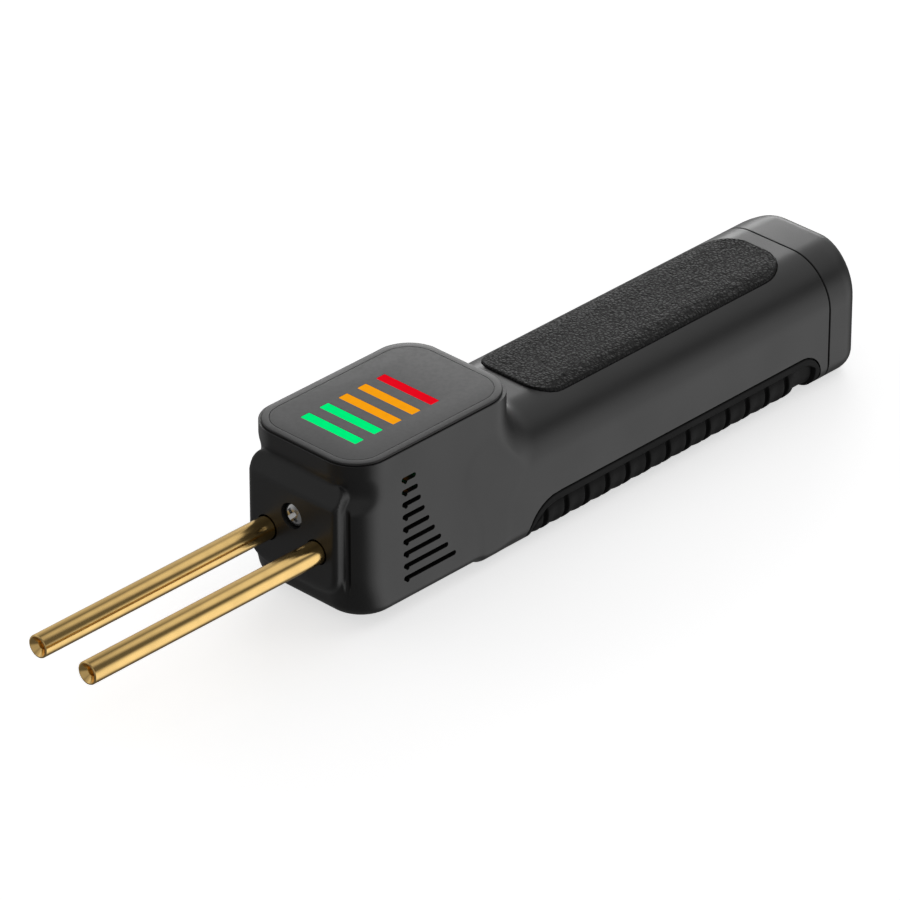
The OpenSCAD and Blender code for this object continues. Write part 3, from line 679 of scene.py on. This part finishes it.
def ring_section(inset, steps=10):
    """The handle's section as a closed list of (y, z)"""
    s = sizes()
    half, top, low = handle_half() - inset, handle_top() - inset, SHELL_LOW.z + inset
    tr, fr = s.top_r - inset, max(s.foot_r - inset, 0.5)
    return (arc_points(half - tr, top - tr, tr, 0, steps) + arc_points(tr - half, top - tr, tr, 90, steps)
            + arc_points(fr - half, low + fr, fr, 180, steps)
            + arc_points(half - fr, low + fr, fr, 270, steps))


def tube(x0, x1, inset):
    return solid("tube", *stitched([[(x, y, z) for y, z in ring_section(inset)] for x in (x0, x1)]))


def slot_outline(cx, cy, long, wide, steps=8):
    """A straight slot with round ends, as (u, v) points"""
    r = wide / 2
    h = long / 2 - r
    right = [(cx + h + r * math.cos(a), cy + r * math.sin(a))
             for a in np.linspace(-math.pi / 2, math.pi / 2, 2 * steps + 1)]
    left = [(cx - h + r * math.cos(a), cy + r * math.sin(a))
            for a in np.linspace(math.pi / 2, 3 * math.pi / 2, 2 * steps + 1)]
    return right + left


def vent_cutters(hook=False):
    """Slots that grow longer towards the floor, on both sides, or the hooks at their front ends"""
    s = sizes()
    points, faces = [], []
    for i in range(s.vents):
        long = 4.1 + 0.39 * i + 0.122 * i * i
        z = 13.8 - i * s.vent_pitch
        outline = slot_outline(-15 - long / 2, z, long, s.vent_w)
        if hook:
            turn, reach = math.radians(48), 1.9
            flat = slot_outline(-reach / 2 + s.vent_w / 2, 0, reach, s.vent_w * 0.8)
            start = -15 - s.vent_w / 2
            outline = [(start + u * math.cos(turn) - v * math.sin(turn),
                        z + u * math.sin(turn) + v * math.cos(turn)) for u, v in flat]
        for side in (-1, 1):
            rings = [[(u, side * y, v) for u, v in outline] for y in (11.5, 18.5)]
            p, f = stitched(rings)
            faces += [tuple(k + len(points) for k in face) for face in f]
            points += p
    return solid("vents", points, faces)


# ---------------------------------------------------------------- grips


def drawn_in(x, front, back, r_front, r_back):
    """How far an outline draws in at x, with a quarter round at each end"""
    a = np.clip(x - (front - r_front), 0, r_front)
    b = np.clip((back + r_back) - x, 0, r_back)
    return (r_front - np.sqrt(r_front**2 - a**2)) + (r_back - np.sqrt(r_back**2 - b**2))


def from_edge(sideways, x, low, high):
    """Distance from the nearest edge of a grip"""
    return np.minimum(sideways, np.minimum(high.x - x, x - low.x))


def rim_drop(edge, r):
    """How far a rounded rim falls away at a distance from the edge"""
    return r - np.sqrt(np.maximum(r**2 - np.clip(r - edge, 0, r) ** 2, 0))


def pad_half(x, grow):
    """Half the pad's width at x, rounded at both ends"""
    ends = drawn_in(x, PAD_HIGH.x + grow, PAD_LOW.x - grow, 5.5 + grow, 9.0 + grow)
    return PAD_HIGH.y + grow - ends


def crown(y, offset):
    """Height of the handle's top at y, moved out by an offset"""
    s = sizes()
    r = s.top_r + offset
    flat = handle_half() - s.top_r
    over = np.clip(np.abs(y) - flat, 0, r)
    return handle_top() - s.top_r + np.sqrt(r**2 - over**2)


def edge_steps(low, high, step, fine=(0.0, 0.06, 0.16, 0.3, 0.5)):
    """Evenly spaced values with fine steps at both ends"""
    count = round((high - low - 2 * fine[-1]) / step)
    body = np.linspace(low + fine[-1], high - fine[-1], count + 1)
    return np.concatenate([low + np.array(fine[:-1]), body, high - np.array(fine[-2::-1])])


def worley(u, v, size, seed):
    """Distance to the border between random cells, as a share of a cell"""
    rng = np.random.default_rng(seed)
    table = rng.random((64, 64, 2))
    gu, gv = u / size, v / size
    iu, iv = np.floor(gu).astype(int), np.floor(gv).astype(int)
    near = np.full(u.shape, 9.0)
    second = np.full(u.shape, 9.0)
    for du in (-1, 0, 1):
        for dv in (-1, 0, 1):
            jitter = table[(iu + du) % 64, (iv + dv) % 64]
            d = np.hypot(iu + du + jitter[..., 0] - gu, iv + dv + jitter[..., 1] - gv)
            second = np.minimum(second, np.maximum(near, d))
            near = np.minimum(near, d)
    return second - near


def pad_grid(grow, step, fine):
    xs = edge_steps(PAD_LOW.x - grow, PAD_HIGH.x + grow, step, fine)
    across = edge_steps(-1.0, 1.0, step / PAD_HIGH.y, tuple(f / PAD_HIGH.y for f in fine))
    gx, gv = np.meshgrid(xs, across, indexing="ij")
    return gx, gv * pad_half(gx, grow)


def pad_solid():
    """The pad: a rounded rim and a raised leather grain that fades out at the rim"""
    s = sizes()
    fine = (0.0, 0.05, 0.14, 0.28, 0.45)
    gx, gy = pad_grid(0, 0.26, fine)
    half = pad_half(gx, 0)
    edge = from_edge(half - np.abs(gy), gx, PAD_LOW, PAD_HIGH)
    drop = rim_drop(edge, 0.45)
    wobble = 0.35 * np.sin(gx * 1.7 + 2 * np.sin(gy)) + 0.3 * np.sin(gy * 2.1 + gx)
    cells = worley(gx + wobble, gy * 1.1 + 40 + wobble, 1.15, 7)
    grain = s.grain * (smoothstep(0.0, 0.35, cells) - 1) * smoothstep(0.35, 1.0, edge)
    outer = np.stack([gx, gy, crown(gy, PAD_PROUD) - drop + grain], -1)
    inner = np.stack([gx, gy, crown(gy, 0.1 - s.pocket)], -1)
    return thick_sheet(outer, inner)


def pad_pocket():
    s = sizes()
    gx, gy = pad_grid(s.gap * 1.6, 1.6, (0.0, 0.5, 1.2))
    outer = np.stack([gx, gy, np.full_like(gy, handle_top() + 4)], -1)
    inner = np.stack([gx, gy, crown(gy, -s.pocket)], -1)
    return thick_sheet(outer, inner)


def grip_top(x, grow):
    """Height of the lower grip's side edge: it sweeps down at the front and rounds off behind"""
    ends = drawn_in(x, GRIP_HIGH.x + grow, GRIP_LOW.x - grow, 9.0 + grow, 6.0 + grow)
    return GRIP_HIGH.z + grow - ends


def around_foot(s_along, offset):
    """Point on the handle's lower section at a distance from the middle of its underside"""
    size = sizes()
    flat = handle_half() - size.foot_r
    turn = size.foot_r * math.pi / 2
    sign, along = np.sign(s_along), np.abs(s_along)
    angle = np.clip((along - flat) / size.foot_r, 0, math.pi / 2)
    rise = np.maximum(along - flat - turn, 0)
    r = size.foot_r + offset
    y = np.minimum(along, flat) + r * np.sin(angle)
    z = SHELL_LOW.z + size.foot_r - r * np.cos(angle) + rise
    return sign * y, z


def foot_length(z):
    """Distance from the middle of the underside to a height on the handle's side"""
    size = sizes()
    flat = handle_half() - size.foot_r
    low = SHELL_LOW.z + size.foot_r
    angle = np.arccos(np.clip((low - z) / size.foot_r, 0, 1))
    return flat + size.foot_r * angle + np.maximum(z - low, 0)


def grip_columns():
    """Places along the grip, close together at each groove"""
    s = sizes()
    first = GRIP_HIGH.x - 4.8
    count = int((first - GRIP_LOW.x - 4) / s.groove_pitch)
    grooves = [first - s.groove_w / 2 - i * s.groove_pitch for i in range(count)]
    local = np.array([-1.1, -0.8, -0.62, -0.5, -0.4, -0.28, -0.12, 0.12, 0.28, 0.4, 0.5, 0.62, 0.8, 1.1])
    xs = [g + local * s.groove_w for g in grooves]
    xs += [np.array([g - s.groove_pitch / 2 + d for d in (-0.9, 0, 0.9)]) for g in grooves]
    ends = np.array([0.0, 0.06, 0.16, 0.3, 0.5, 0.8, 1.2, 1.6, 1.8, 2.0, 2.2, 2.5, 3.0, 3.5, 4.0, 4.6, 5.2])
    xs += [GRIP_HIGH.x - ends, GRIP_LOW.x + ends]
    xs = np.unique(np.round(np.concatenate(xs), 3))
    xs = xs[np.concatenate([[True], np.diff(xs) > 0.045])]
    return xs, grooves


def grip_solid():
    """The ribbed grip: a plain border, pillowed ribs inside it and a groove before each rib"""
    s = sizes()
    xs, grooves = grip_columns()
    border_steps = (0.0, 0.06, 0.16, 0.3, 0.5, 0.9, 1.4, 1.7, 1.9, 2.1, 2.5)
    share = edge_steps(-1, 1, 0.026, tuple(f / 25 for f in border_steps))
    gx, gs = np.meshgrid(xs, share, indexing="ij")
    reach = foot_length(grip_top(gx, 0))
    along = gs * reach
    edge = from_edge(reach - np.abs(along), gx, GRIP_LOW, GRIP_HIGH)
    drop = rim_drop(edge, 0.35)
    inside = smoothstep(s.border - 0.2, s.border + 0.15, edge)
    phase = (gx - grooves[0]) / s.groove_pitch
    across = np.abs(phase - np.round(phase)) * 2
    pillow = 0.34 * (1 - across**3) * smoothstep(s.border, s.border + 3.5, edge)
    rib_zone = smoothstep(grooves[-1] - 0.6 * s.groove_pitch, grooves[-1] - 0.4 * s.groove_pitch, gx)
    half_w = s.groove_w / 2
    off = np.abs(phase - np.round(phase)) * s.groove_pitch
    groove = s.groove_deep * (1 - smoothstep(half_w * 0.4, half_w * 1.15, off)) * rib_zone
    moat = 0.5 * np.exp(-(((edge - s.border - 0.25) / 0.3) ** 2))
    recess = 0.5 * (1 - rib_zone) * smoothstep(s.border, s.border + 1.4, edge)
    floor = 0.42 - pillow * rib_zone + moat + recess
    height = -drop - inside * np.minimum(floor + groove * 0.8, s.pocket - 0.16)
    y, z = around_foot(along, height)
    outer = np.stack([gx, y, z], -1)
    y, z = around_foot(along, 0.1 - s.pocket)
    inner = np.stack([gx, y, z], -1)
    return thick_sheet(outer, inner)


def grip_pocket():
    s = sizes()
    seam = s.grip_seam
    xs = edge_steps(GRIP_LOW.x - seam, GRIP_HIGH.x + seam, 3.0, (0.0, 0.5, 1, 1.6, 2.4, 3.4, 4.6, 6, 7.5))
    share = np.linspace(-1, 1, 49)
    gx, gs = np.meshgrid(xs, share, indexing="ij")
    along = gs * foot_length(grip_top(gx, seam))
    y, z = around_foot(along, 1.5)
    outer = np.stack([gx, y, z], -1)
    y, z = around_foot(along, -s.pocket)
    return thick_sheet(outer, np.stack([gx, y, z], -1))


# ---------------------------------------------------------------- repeats, as geometry nodes


class NodeTree:
    """A geometry node group with named inputs"""

    def __init__(self, name, inputs):
        self.tree = bpy.data.node_groups.new(name, "GeometryNodeTree")
        for label, kind in inputs:
            self.tree.interface.new_socket(label, in_out="INPUT", socket_type=kind)
        self.tree.interface.new_socket("Geometry", in_out="OUTPUT", socket_type="NodeSocketGeometry")
        self.input = self.tree.nodes.new("NodeGroupInput")
        self.output = self.tree.nodes.new("NodeGroupOutput")

    def node(self, kind, settings=None, inputs=()):
        made = self.tree.nodes.new(kind)
        for key, value in (settings or {}).items():
            setattr(made, key, value)
        for key, value in dict(inputs).items():
            if isinstance(value, bpy.types.NodeSocket):
                self.tree.links.new(value, made.inputs[key])
            else:
                made.inputs[key].default_value = value
        return made.outputs

    def end(self, geometry, material):
        real = self.node("GeometryNodeRealizeInstances", inputs={0: geometry})
        done = self.node("GeometryNodeSetMaterial", inputs={"Geometry": real[0], "Material": material})
        self.tree.links.new(done[0], self.output.inputs[0])


def run_tree(name, tree, values):
    """An object whose mesh is the tree's result"""
    holder = bpy.data.objects.new(name, bpy.data.meshes.new(name))
    bpy.context.scene.collection.objects.link(holder)
    mod = holder.modifiers.new("repeat", "NODES")
    mod.node_group = tree.tree
    ids = {item.name: item.identifier for item in tree.tree.interface.items_tree if item.in_out == "INPUT"}
    for label, value in values.items():
        mod[ids[label]] = value
    apply_modifiers(holder)
    return holder


def copies_in_a_row(name, shape, count, start, step, material):
    """Copies of a shape along a straight line, in metres. The shape is used up."""
    tree = NodeTree("row_of_copies", [("Shape", "NodeSocketObject"), ("Count", "NodeSocketInt"),
                                      ("Start", "NodeSocketVector"), ("Step", "NodeSocketVector")])
    source = tree.input.outputs
    line = tree.node("GeometryNodeMeshLine", {"mode": "OFFSET"}, {
        "Count": source["Count"], "Start Location": source["Start"], "Offset": source["Step"]})
    piece = tree.node("GeometryNodeObjectInfo", {"transform_space": "ORIGINAL"}, {"Object": source["Shape"]})
    placed = tree.node("GeometryNodeInstanceOnPoints", inputs={
        "Points": line[0], "Instance": piece["Geometry"]})
    tree.end(placed[0], material)
    made = run_tree(name, tree, {"Shape": shape, "Count": count, "Start": start, "Step": step})
    bpy.data.objects.remove(shape)
    return made


def coil(name, turns, radius, height, wire, base, material):
    """A wire coil standing on a point"""
    tree = NodeTree("wire_coil", [("Turns", "NodeSocketFloat"), ("Radius", "NodeSocketFloat"),
                                  ("Height", "NodeSocketFloat"), ("Wire", "NodeSocketFloat"),
                                  ("Base", "NodeSocketVector")])
    source = tree.input.outputs
    path = tree.node("GeometryNodeCurveSpiral", inputs={
        "Resolution": 28, "Rotations": source["Turns"], "Start Radius": source["Radius"],
        "End Radius": source["Radius"], "Height": source["Height"]})
    ring = tree.node("GeometryNodeCurvePrimitiveCircle", inputs={"Resolution": 12, "Radius": source["Wire"]})
    swept = tree.node("GeometryNodeCurveToMesh", inputs={
        "Curve": path[0], "Profile Curve": ring[0], "Fill Caps": True})
    moved = tree.node("GeometryNodeTransform", inputs={"Geometry": swept[0], "Translation": source["Base"]})
    tree.end(moved[0], material)
    return run_tree(name, tree, {"Turns": turns, "Radius": radius, "Height": height, "Wire": wire,
                                 "Base": base})


# ---------------------------------------------------------------- studio


FLOOR_Z = -0.0002
# Name, place, target, width, height in metres, and power in watts
LIGHTS = [
    ("rear_key", (-0.95, -0.80, 0.40), (-0.05, 0, 0.02), 0.6, 0.3, 3),
]
# Soft boxes round the object: direction, cosines where each ends and is full, and brightness
AMBIENT = 0.13
SOFT_BOXES = [
    ((-0.72, -0.60, 0.30), 0.66, 0.97, 0.45),
    ((-0.62, 0.14, 0.78), 0.82, 0.97, 0.75),
    ((-0.58, 0.76, -0.30), 0.66, 0.95, 1.05),
    ((0.35, -0.55, 0.75), 0.75, 0.97, 0.35),
    ((0.70, 0.58, 0.40), 0.62, 0.95, 0.3),
    ((0.25, -0.95, 0.05), 0.62, 0.95, 0.35),
]


def studio_world():
    """Soft boxes on a dim room"""
    world = bpy.data.worlds.new("studio")
    sky = Shader("studio", world, Color=(1, 1, 1))
    toward = sky.node("ShaderNodeTexCoord", output="Generated")
    total = AMBIENT
    for axis, edge, full, bright in SOFT_BOXES:
        facing = sky.node("ShaderNodeVectorMath", {"operation": "DOT_PRODUCT"},
                          [toward, Vector(axis).normalized()], "Value")
        total = total + sky.ramp(facing, edge, full, 0, bright)
    sky.set("Strength", total)
    return world


# ---------------------------------------------------------------- operators


class Builder:
    bl_options = {"REGISTER", "UNDO"}


class WELDER_OT_stage(Builder, bpy.types.Operator):
    """Camera, pale floor and soft studio lights"""
    bl_idname = "welder.stage"
    bl_label = "Studio"

    def execute(self, context):
        camera_at = NOSE + Vector((838.9, 853.3, 722.3)) * MM
        turn, rise = math.radians(43.97), math.radians(30.39)
        back = Vector((math.cos(turn) * math.cos(rise), math.sin(turn) * math.cos(rise), math.sin(rise)))
        data = bpy.data.cameras.new("camera")
        data.lens, data.sensor_width = 279.4, 36
        data.clip_start, data.clip_end = 0.05, 20
        camera = bpy.data.objects.new("camera", data)
        camera.rotation_mode = "QUATERNION"
        camera.location = camera_at
        camera.rotation_quaternion = (-back).to_track_quat("-Z", "Y")
        context.scene.collection.objects.link(camera)
        context.scene.camera = camera

        size = 6
        floor = bpy.data.meshes.new("floor")
        floor.from_pydata([(-size, -size, 0), (size, -size, 0), (size, size, 0), (-size, size, 0)], [],
                          [(0, 1, 2, 3)])
        ground = bpy.data.objects.new("floor", floor)
        ground.data.materials.append(floor_finish())
        ground.location = (0, 0, FLOOR_Z)
        ground.visible_diffuse = ground.visible_glossy = ground.visible_shadow = False
        context.scene.collection.objects.link(ground)

        context.scene.world = studio_world()
        for name, at, target, width, height, power in LIGHTS:
            light = bpy.data.lights.new(name, "AREA")
            light.shape, light.size, light.size_y, light.energy = "RECTANGLE", width, height, power
            lamp_object = bpy.data.objects.new(name, light)
            lamp_object.rotation_mode = "QUATERNION"
            lamp_object.location = at
            lamp_object.rotation_quaternion = (Vector(target) - Vector(at)).to_track_quat("-Z", "Y")
            context.scene.collection.objects.link(lamp_object)
        context.scene.view_settings.view_transform = "Standard"
        return {"FINISHED"}


class WELDER_OT_housing(Builder, bpy.types.Operator):
    """Head and handle in one moulded shell, with its vents, pockets and holes"""
    bl_idname = "welder.housing"
    bl_label = "Housing"

    def execute(self, context):
        s = sizes()
        made = solid("housing_shell", *housing_form())
        front, back = head_ends()
        cut(made, solid("rim", *slab(lambda i: rounded_outline(20, -80, 30, 1, 1, 3),
                                     [(0, HEAD_RIM), (0, HEAD_RIM + 20)])))
        inner_r = s.head_corner - s.wall
        cut(made, solid("inner", *slab(
            lambda i: rounded_outline(front - s.wall, back + s.wall, COVER_HIGH.y + HEAD_MARGIN - s.wall,
                                      inner_r, inner_r),
            [(0, HEAD_FLOOR + s.wall), (0, HEAD_RIM + 5)])))
        cut(made, tube(CAP_HIGH.x - 2, back + s.wall + 2, s.wall))
        cut(made, vent_cutters())
        cut(made, vent_cutters(hook=True))
        rod_y = middle("electrode_left").y / MM
        screw_z = (SCREW_LOW.z + SCREW_HIGH.z) / 2
        for side in (1, -1):
            drill(made, -NOSE_HOLE_DEEP, 2, side * rod_y, 0, ROD_HOLE_R)
        drill(made, -NOSE_HOLE_DEEP, 2, 0, screw_z, SCREW_HOLE_R)
        drill(made, -SCREW_WELL_DEEP, 2, 0, screw_z, SCREW_WELL_R)
        trigger_x = (TRIGGER_LOW.x + TRIGGER_HIGH.x) / 2
        opening = slot_outline(trigger_x, 0, BUTTON_LONG + 2 * s.gap, BUTTON_WIDE + 2 * s.gap, 12)
        cut(made, solid("slot", *stitched([[(x, y, z) for x, y in opening] for z in (-20, -10)])))
        for cutter in (pad_pocket, grip_pocket):
            cut(made, solid("pocket", *cutter()))
        finish_piece(made, "shell", replaces=["housing"], angle=28)
        return {"FINISHED"}


class WELDER_OT_grips(Builder, bpy.types.Operator):
    """Grained pad on the handle's top and the ribbed grip under it"""
    bl_idname = "welder.grips"
    bl_label = "Grips"

    def execute(self, context):
        for name, form, slot, node in (("grained_pad", pad_solid, "pad", "top_grip_pad"),
                                       ("ribbed_grip", grip_solid, "grip", "lower_grip")):
            finish_piece(solid(name, *form()), slot, replaces=[node], angle=60)
        return {"FINISHED"}


CAP_EDGE = 3.0


def cap_profile():
    """(x, inset) steps of the end cap, from its seam to its rounded rear edge"""
    s = sizes()
    front, step = CAP_HIGH.x, CAP_HIGH.x - s.seam / 2
    profile = [(front, 0.7), (step, 0.7), (step, 0.12), (step - 0.12, 0)]
    for k in range(19):
        away = s.cap_corner * (1 - math.sin(math.radians(5 * k)))
        past = max(CAP_EDGE - away, 0)
        profile.append((CAP_LOW.x + away, CAP_EDGE - math.sqrt(CAP_EDGE**2 - past**2)))
    return profile


def cap_narrowing(x):
    """Share of the width left at x: the upright corners are rounder than the rear edge"""
    r = sizes().cap_corner
    past = max(r - (x - CAP_LOW.x), 0)
    return 1 - (r - math.sqrt(r**2 - past**2)) / handle_half()


class WELDER_OT_end_cap(Builder, bpy.types.Operator):
    """End cap with its rounded rear edge, port opening and screw wells"""
    bl_idname = "welder.end_cap"
    bl_label = "End cap"

    def execute(self, context):
        s = sizes()
        rear = CAP_LOW.x
        made = solid("rounded_cap", *stitched(
            [[(x, y * cap_narrowing(x), z) for y, z in ring_section(inset, 16)]
             for x, inset in cap_profile()]))
        cut(made, tube(rear + s.wall, CAP_HIGH.x + 1, s.wall))
        port_low, port_high = node_box("charge_port")
        mid = (port_low + port_high) / 2
        outline = slot_outline(0, mid.z, 9.8, 4.1, 10)
        cut(made, solid("mouth", *stitched([[(x, y, z) for y, z in outline] for x in (rear - 1, rear + 4)])))
        for at in cap_screw_places():
            drill(made, rear - 1, rear + 2.4, at.y, at.z, 2.6)
        finish_piece(made, "shell", replaces=["end_cap"], angle=28)
        return {"FINISHED"}


def cap_screw_places():
    low, high = node_box("end_cap_screws")
    half = high.y - 2.3
    return [Vector((low.x, side * half, (low.z + high.z) / 2)) for side in (-1, 1)]


def cover_outline(inset):
    return rounded_outline(COVER_HIGH.x - inset, COVER_LOW.x + inset, COVER_HIGH.y - inset,
                           7.7 - inset, 8.4 - inset, 16)


# One light bar, and the flange under it
BAR_WIDE, BAR_LONG, BAR_FLANGE = 2.45, 15.4, 0.6


def light_window(i):
    """Middle, half width and half length of one light bar"""
    low, high = node_box("green_light_bars")
    first = high.x - BAR_FLANGE - BAR_WIDE / 2
    pitch = high.x - low.x - 2 * BAR_FLANGE - BAR_WIDE
    return first - i * pitch, BAR_WIDE / 2, BAR_LONG / 2


def cut_windows(plate, gap):
    """One opening for each light bar, with a gap all round"""
    for i in range(5):
        x, a, b = light_window(i)
        cut(plate, solid("window", *slab(
            lambda wider: rounded_outline(x + a + wider, x - a - wider, b + wider, 0.2, 0.2, 3),
            [(gap, 10), (gap, 30)])))


class WELDER_OT_cover(Builder, bpy.types.Operator):
    """Top cover with its softened edge, and the label film let into it"""
    bl_idname = "welder.cover"
    bl_label = "Top cover"

    def execute(self, context):
        top, rim = COVER_HIGH.z, HEAD_RIM
        inset = COVER_HIGH.x - FILM_HIGH.x - 0.06
        made = solid("cover_plate", *slab(cover_outline, [
            (2.3, COVER_LOW.z), (2.3, rim), (0.1, rim), (0.0, rim + 0.1), (0.0, top - 0.22),
            (0.06, top - 0.1), (0.16, top - 0.03), (0.3, top), (inset, top), (inset, FILM_LOW.z)]))
        cut_windows(made, 0.05)
        finish_piece(made, "cover", replaces=["top_cover"])
        film = solid("printed_film", *slab(cover_outline, [
            (inset + 0.07, FILM_LOW.z), (inset + 0.07, top - 0.05), (inset + 0.12, top - 0.015),
            (inset + 0.2, top - 0.01)]))
        cut_windows(film, 0.04)
        finish_piece(film, "film", replaces=["label_film"])
        return {"FINISHED"}


class WELDER_OT_lights(Builder, bpy.types.Operator):
    """Indicator bars: two green, two orange and one red"""
    bl_idname = "welder.lights"
    bl_label = "Indicator lights"

    def execute(self, context):
        pitch = light_window(1)[0] - light_window(0)[0]
        rows = (("green_light", 0, 2, "green_light_bars"), ("orange_light", 2, 2, "orange_light_bars"),
                ("red_light", 4, 1, "red_light_bar"))
        for slot, first, count, node in rows:
            x, a, b = light_window(first)
            low, top = node_box(node)[0].z, COVER_HIGH.z
            shape = solid("bar", *slab(
                lambda i: rounded_outline(x + a - i, x - a + i, b - i, 0.22, 0.22, 3),
                [(-0.6, low), (-0.6, low + 0.8), (0, low + 0.8), (0, top - 0.04), (0.04, top)]))
            made = copies_in_a_row(slot + "_row", shape, count, (0, 0, 0), (pitch * MM, 0, 0), finish(slot))
            finish_piece(made, slot, replaces=[node])
        return {"FINISHED"}


class WELDER_OT_electrodes(Builder, bpy.types.Operator):
    """Two polished electrodes with a countersunk staple socket in each tip"""
    bl_idname = "welder.electrodes"
    bl_label = "Electrodes"

    def execute(self, context):
        r, tip, tail = (ROD_HIGH.z - ROD_LOW.z) / 2, ROD_HIGH.x, ROD_LOW.x
        socket, sink, deep = 1.0, 2.1, 12.0
        profile = [(tail, r - 0.3), (tail + 0.3, r), (tip - 0.22, r), (tip - 0.08, r - 0.06), (tip, r - 0.2),
                   (tip, sink + 0.05), (tip - 0.05, sink), (tip - 1.15, socket + 0.06), (tip - 1.25, socket),
                   (tip - deep, socket)]
        for name, side in (("electrode_left", 1), ("electrode_right", -1)):
            y = side * middle("electrode_left").y / MM
            made = solid(name.replace("electrode", "brass_rod"), *revolved(profile, y, 0, 96))
            finish_piece(made, "electrode_brass", replaces=[name], angle=40)
        return {"FINISHED"}


def cross_head(name, at, toward, head_r, head_h, shank_r, shank_l):
    """A pan-head screw with a cross recess. It points along X: toward is 1 or -1."""
    dome = [(math.cos(math.radians(a)), math.sin(math.radians(a))) for a in range(0, 81, 10)]
    profile = [(-shank_l, shank_r * 0.6), (-shank_l + 0.6, shank_r), (0, shank_r), (0, head_r - 0.1)]
    profile += [(0.1, head_r)]
    profile += [(head_h * (0.45 + 0.55 * sy), head_r * (0.25 + 0.75 * cx)) for cx, sy in dome]
    made = solid(name, *revolved([(at.x + toward * x, r) for x, r in profile], at.y, at.z, 48))
    for turn in (0, 90):
        wide, long, deep = head_r * 0.17, head_r * 0.72, head_h * 0.75
        corners = [(-1, -1), (1, -1), (1, 1), (-1, 1)]
        rings = []
        for x, narrow in ((head_h - deep, 0.35), (head_h + 0.5, 1.0)):
            ring = [(u * long * narrow, v * wide) for u, v in corners]
            angle = math.radians(turn + 45)
            rings.append([(at.x + toward * x, at.y + u * math.cos(angle) - v * math.sin(angle),
                           at.z + u * math.sin(angle) + v * math.cos(angle)) for u, v in ring])
        cut(made, solid("blade", *stitched(rings)))
    return made


class WELDER_OT_screws(Builder, bpy.types.Operator):
    """Nose screw and end cap screws, each with a cross recess"""
    bl_idname = "welder.screws"
    bl_label = "Screws"

    def execute(self, context):
        mid = (SCREW_LOW + SCREW_HIGH) / 2
        nose = cross_head("nose_cross_screw", Vector((SCREW_HIGH.x - 1.8, 0, mid.z)), 1, 2.8, 1.8, 1.5, 10)
        finish_piece(nose, "screw_steel", replaces=["nose_screw"])
        low, high = node_box("end_cap_screws")
        at = cap_screw_places()[0]
        shape = cross_head("cap_screw", Vector((low.x + 1.6, at.y, at.z)), -1, 2.3, 1.6, 1.25, 17)
        apart = (0, -2 * at.y * MM, 0)
        made = copies_in_a_row("cap_cross_screws", shape, 2, (0, 0, 0), apart, finish("dark_screw"))
        finish_piece(made, "dark_screw", replaces=["end_cap_screws"])
        return {"FINISHED"}


class WELDER_OT_trigger(Builder, bpy.types.Operator):
    """Dished push button with its flange and stem, and the spring behind it"""
    bl_idname = "welder.trigger"
    bl_label = "Trigger"

    def execute(self, context):
        mid = (TRIGGER_LOW + TRIGGER_HIGH) / 2
        low, flange = TRIGGER_LOW.z, HEAD_FLOOR + 2.65

        def outline(inset):
            return slot_outline(mid.x, 0, BUTTON_LONG - 2 * inset, BUTTON_WIDE - 2 * inset, 14)

        steps = [(4.2, low + 0.5), (3.2, low + 0.4), (2.2, low + 0.22), (1.5, low + 0.08), (1.0, low),
                 (0.7, low), (0.4, low + 0.1), (0.16, low + 0.28), (0.0, low + 0.6), (0, flange),
                 (-1.2, flange), (-1.2, flange + 1.05), (3.1, flange + 1.05), (3.1, TRIGGER_HIGH.z)]
        finish_piece(solid("push_button", *slab(outline, steps)), "button", "trigger", ["trigger"])
        wire = 0.25
        base = Vector((mid.x, 0, SPRING_LOW.z + wire)) * MM + NOSE
        tall = (SPRING_HIGH.z - SPRING_LOW.z - 2 * wire) * MM
        spring = coil("coil_spring", 5, 2.6 * MM, tall, wire * MM, base, finish("spring_steel"))
        finish_piece(spring, "spring_steel", "root", ["trigger_spring"], angle=60)
        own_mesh(spring)
        return {"FINISHED"}


class WELDER_OT_finishes(Builder, bpy.types.Operator):
    """Materials of the inner pieces that keep their own mesh"""
    bl_idname = "welder.finishes"
    bl_label = "Inner finishes"

    def execute(self, context):
        slots = {part["node"]: part["material_slot"] for part in frame["record"]["subparts"]}
        for name, node in frame["nodes"].items():
            node.data.materials.clear()
            node.data.materials.append(finish(slots[name]))
        return {"FINISHED"}


class WELDER_PT_panel(bpy.types.Panel):
    """Lists the pieces and the sizes"""
    bl_label = "Plastic welder"
    bl_space_type = "VIEW_3D"
    bl_region_type = "UI"
    bl_category = "Welder"

    def draw(self, context):
        for operator in OPERATORS:
            self.layout.operator(operator.bl_idname)
        for group in (context.scene.welder_sizes, context.scene.welder_colours):
            for key in group.__annotations__:
                self.layout.prop(group, key)


OPERATORS = [WELDER_OT_stage, WELDER_OT_finishes, WELDER_OT_housing, WELDER_OT_grips, WELDER_OT_end_cap,
             WELDER_OT_cover, WELDER_OT_lights, WELDER_OT_electrodes, WELDER_OT_screws, WELDER_OT_trigger]
CLASSES = [WelderSizes, WelderColours, *OPERATORS, WELDER_PT_panel]


def register():
    for item in CLASSES:
        bpy.utils.register_class(item)
    bpy.types.Scene.welder_sizes = PointerProperty(type=WelderSizes)
    bpy.types.Scene.welder_colours = PointerProperty(type=WelderColours)


def unregister():
    del bpy.types.Scene.welder_sizes
    del bpy.types.Scene.welder_colours
    for item in reversed(CLASSES):
        bpy.utils.unregister_class(item)


def main():
    register()
    for operator in OPERATORS:
        group, name = operator.bl_idname.split(".")
        getattr(getattr(bpy.ops, group), name)()


if __name__ == "__main__":
    main()
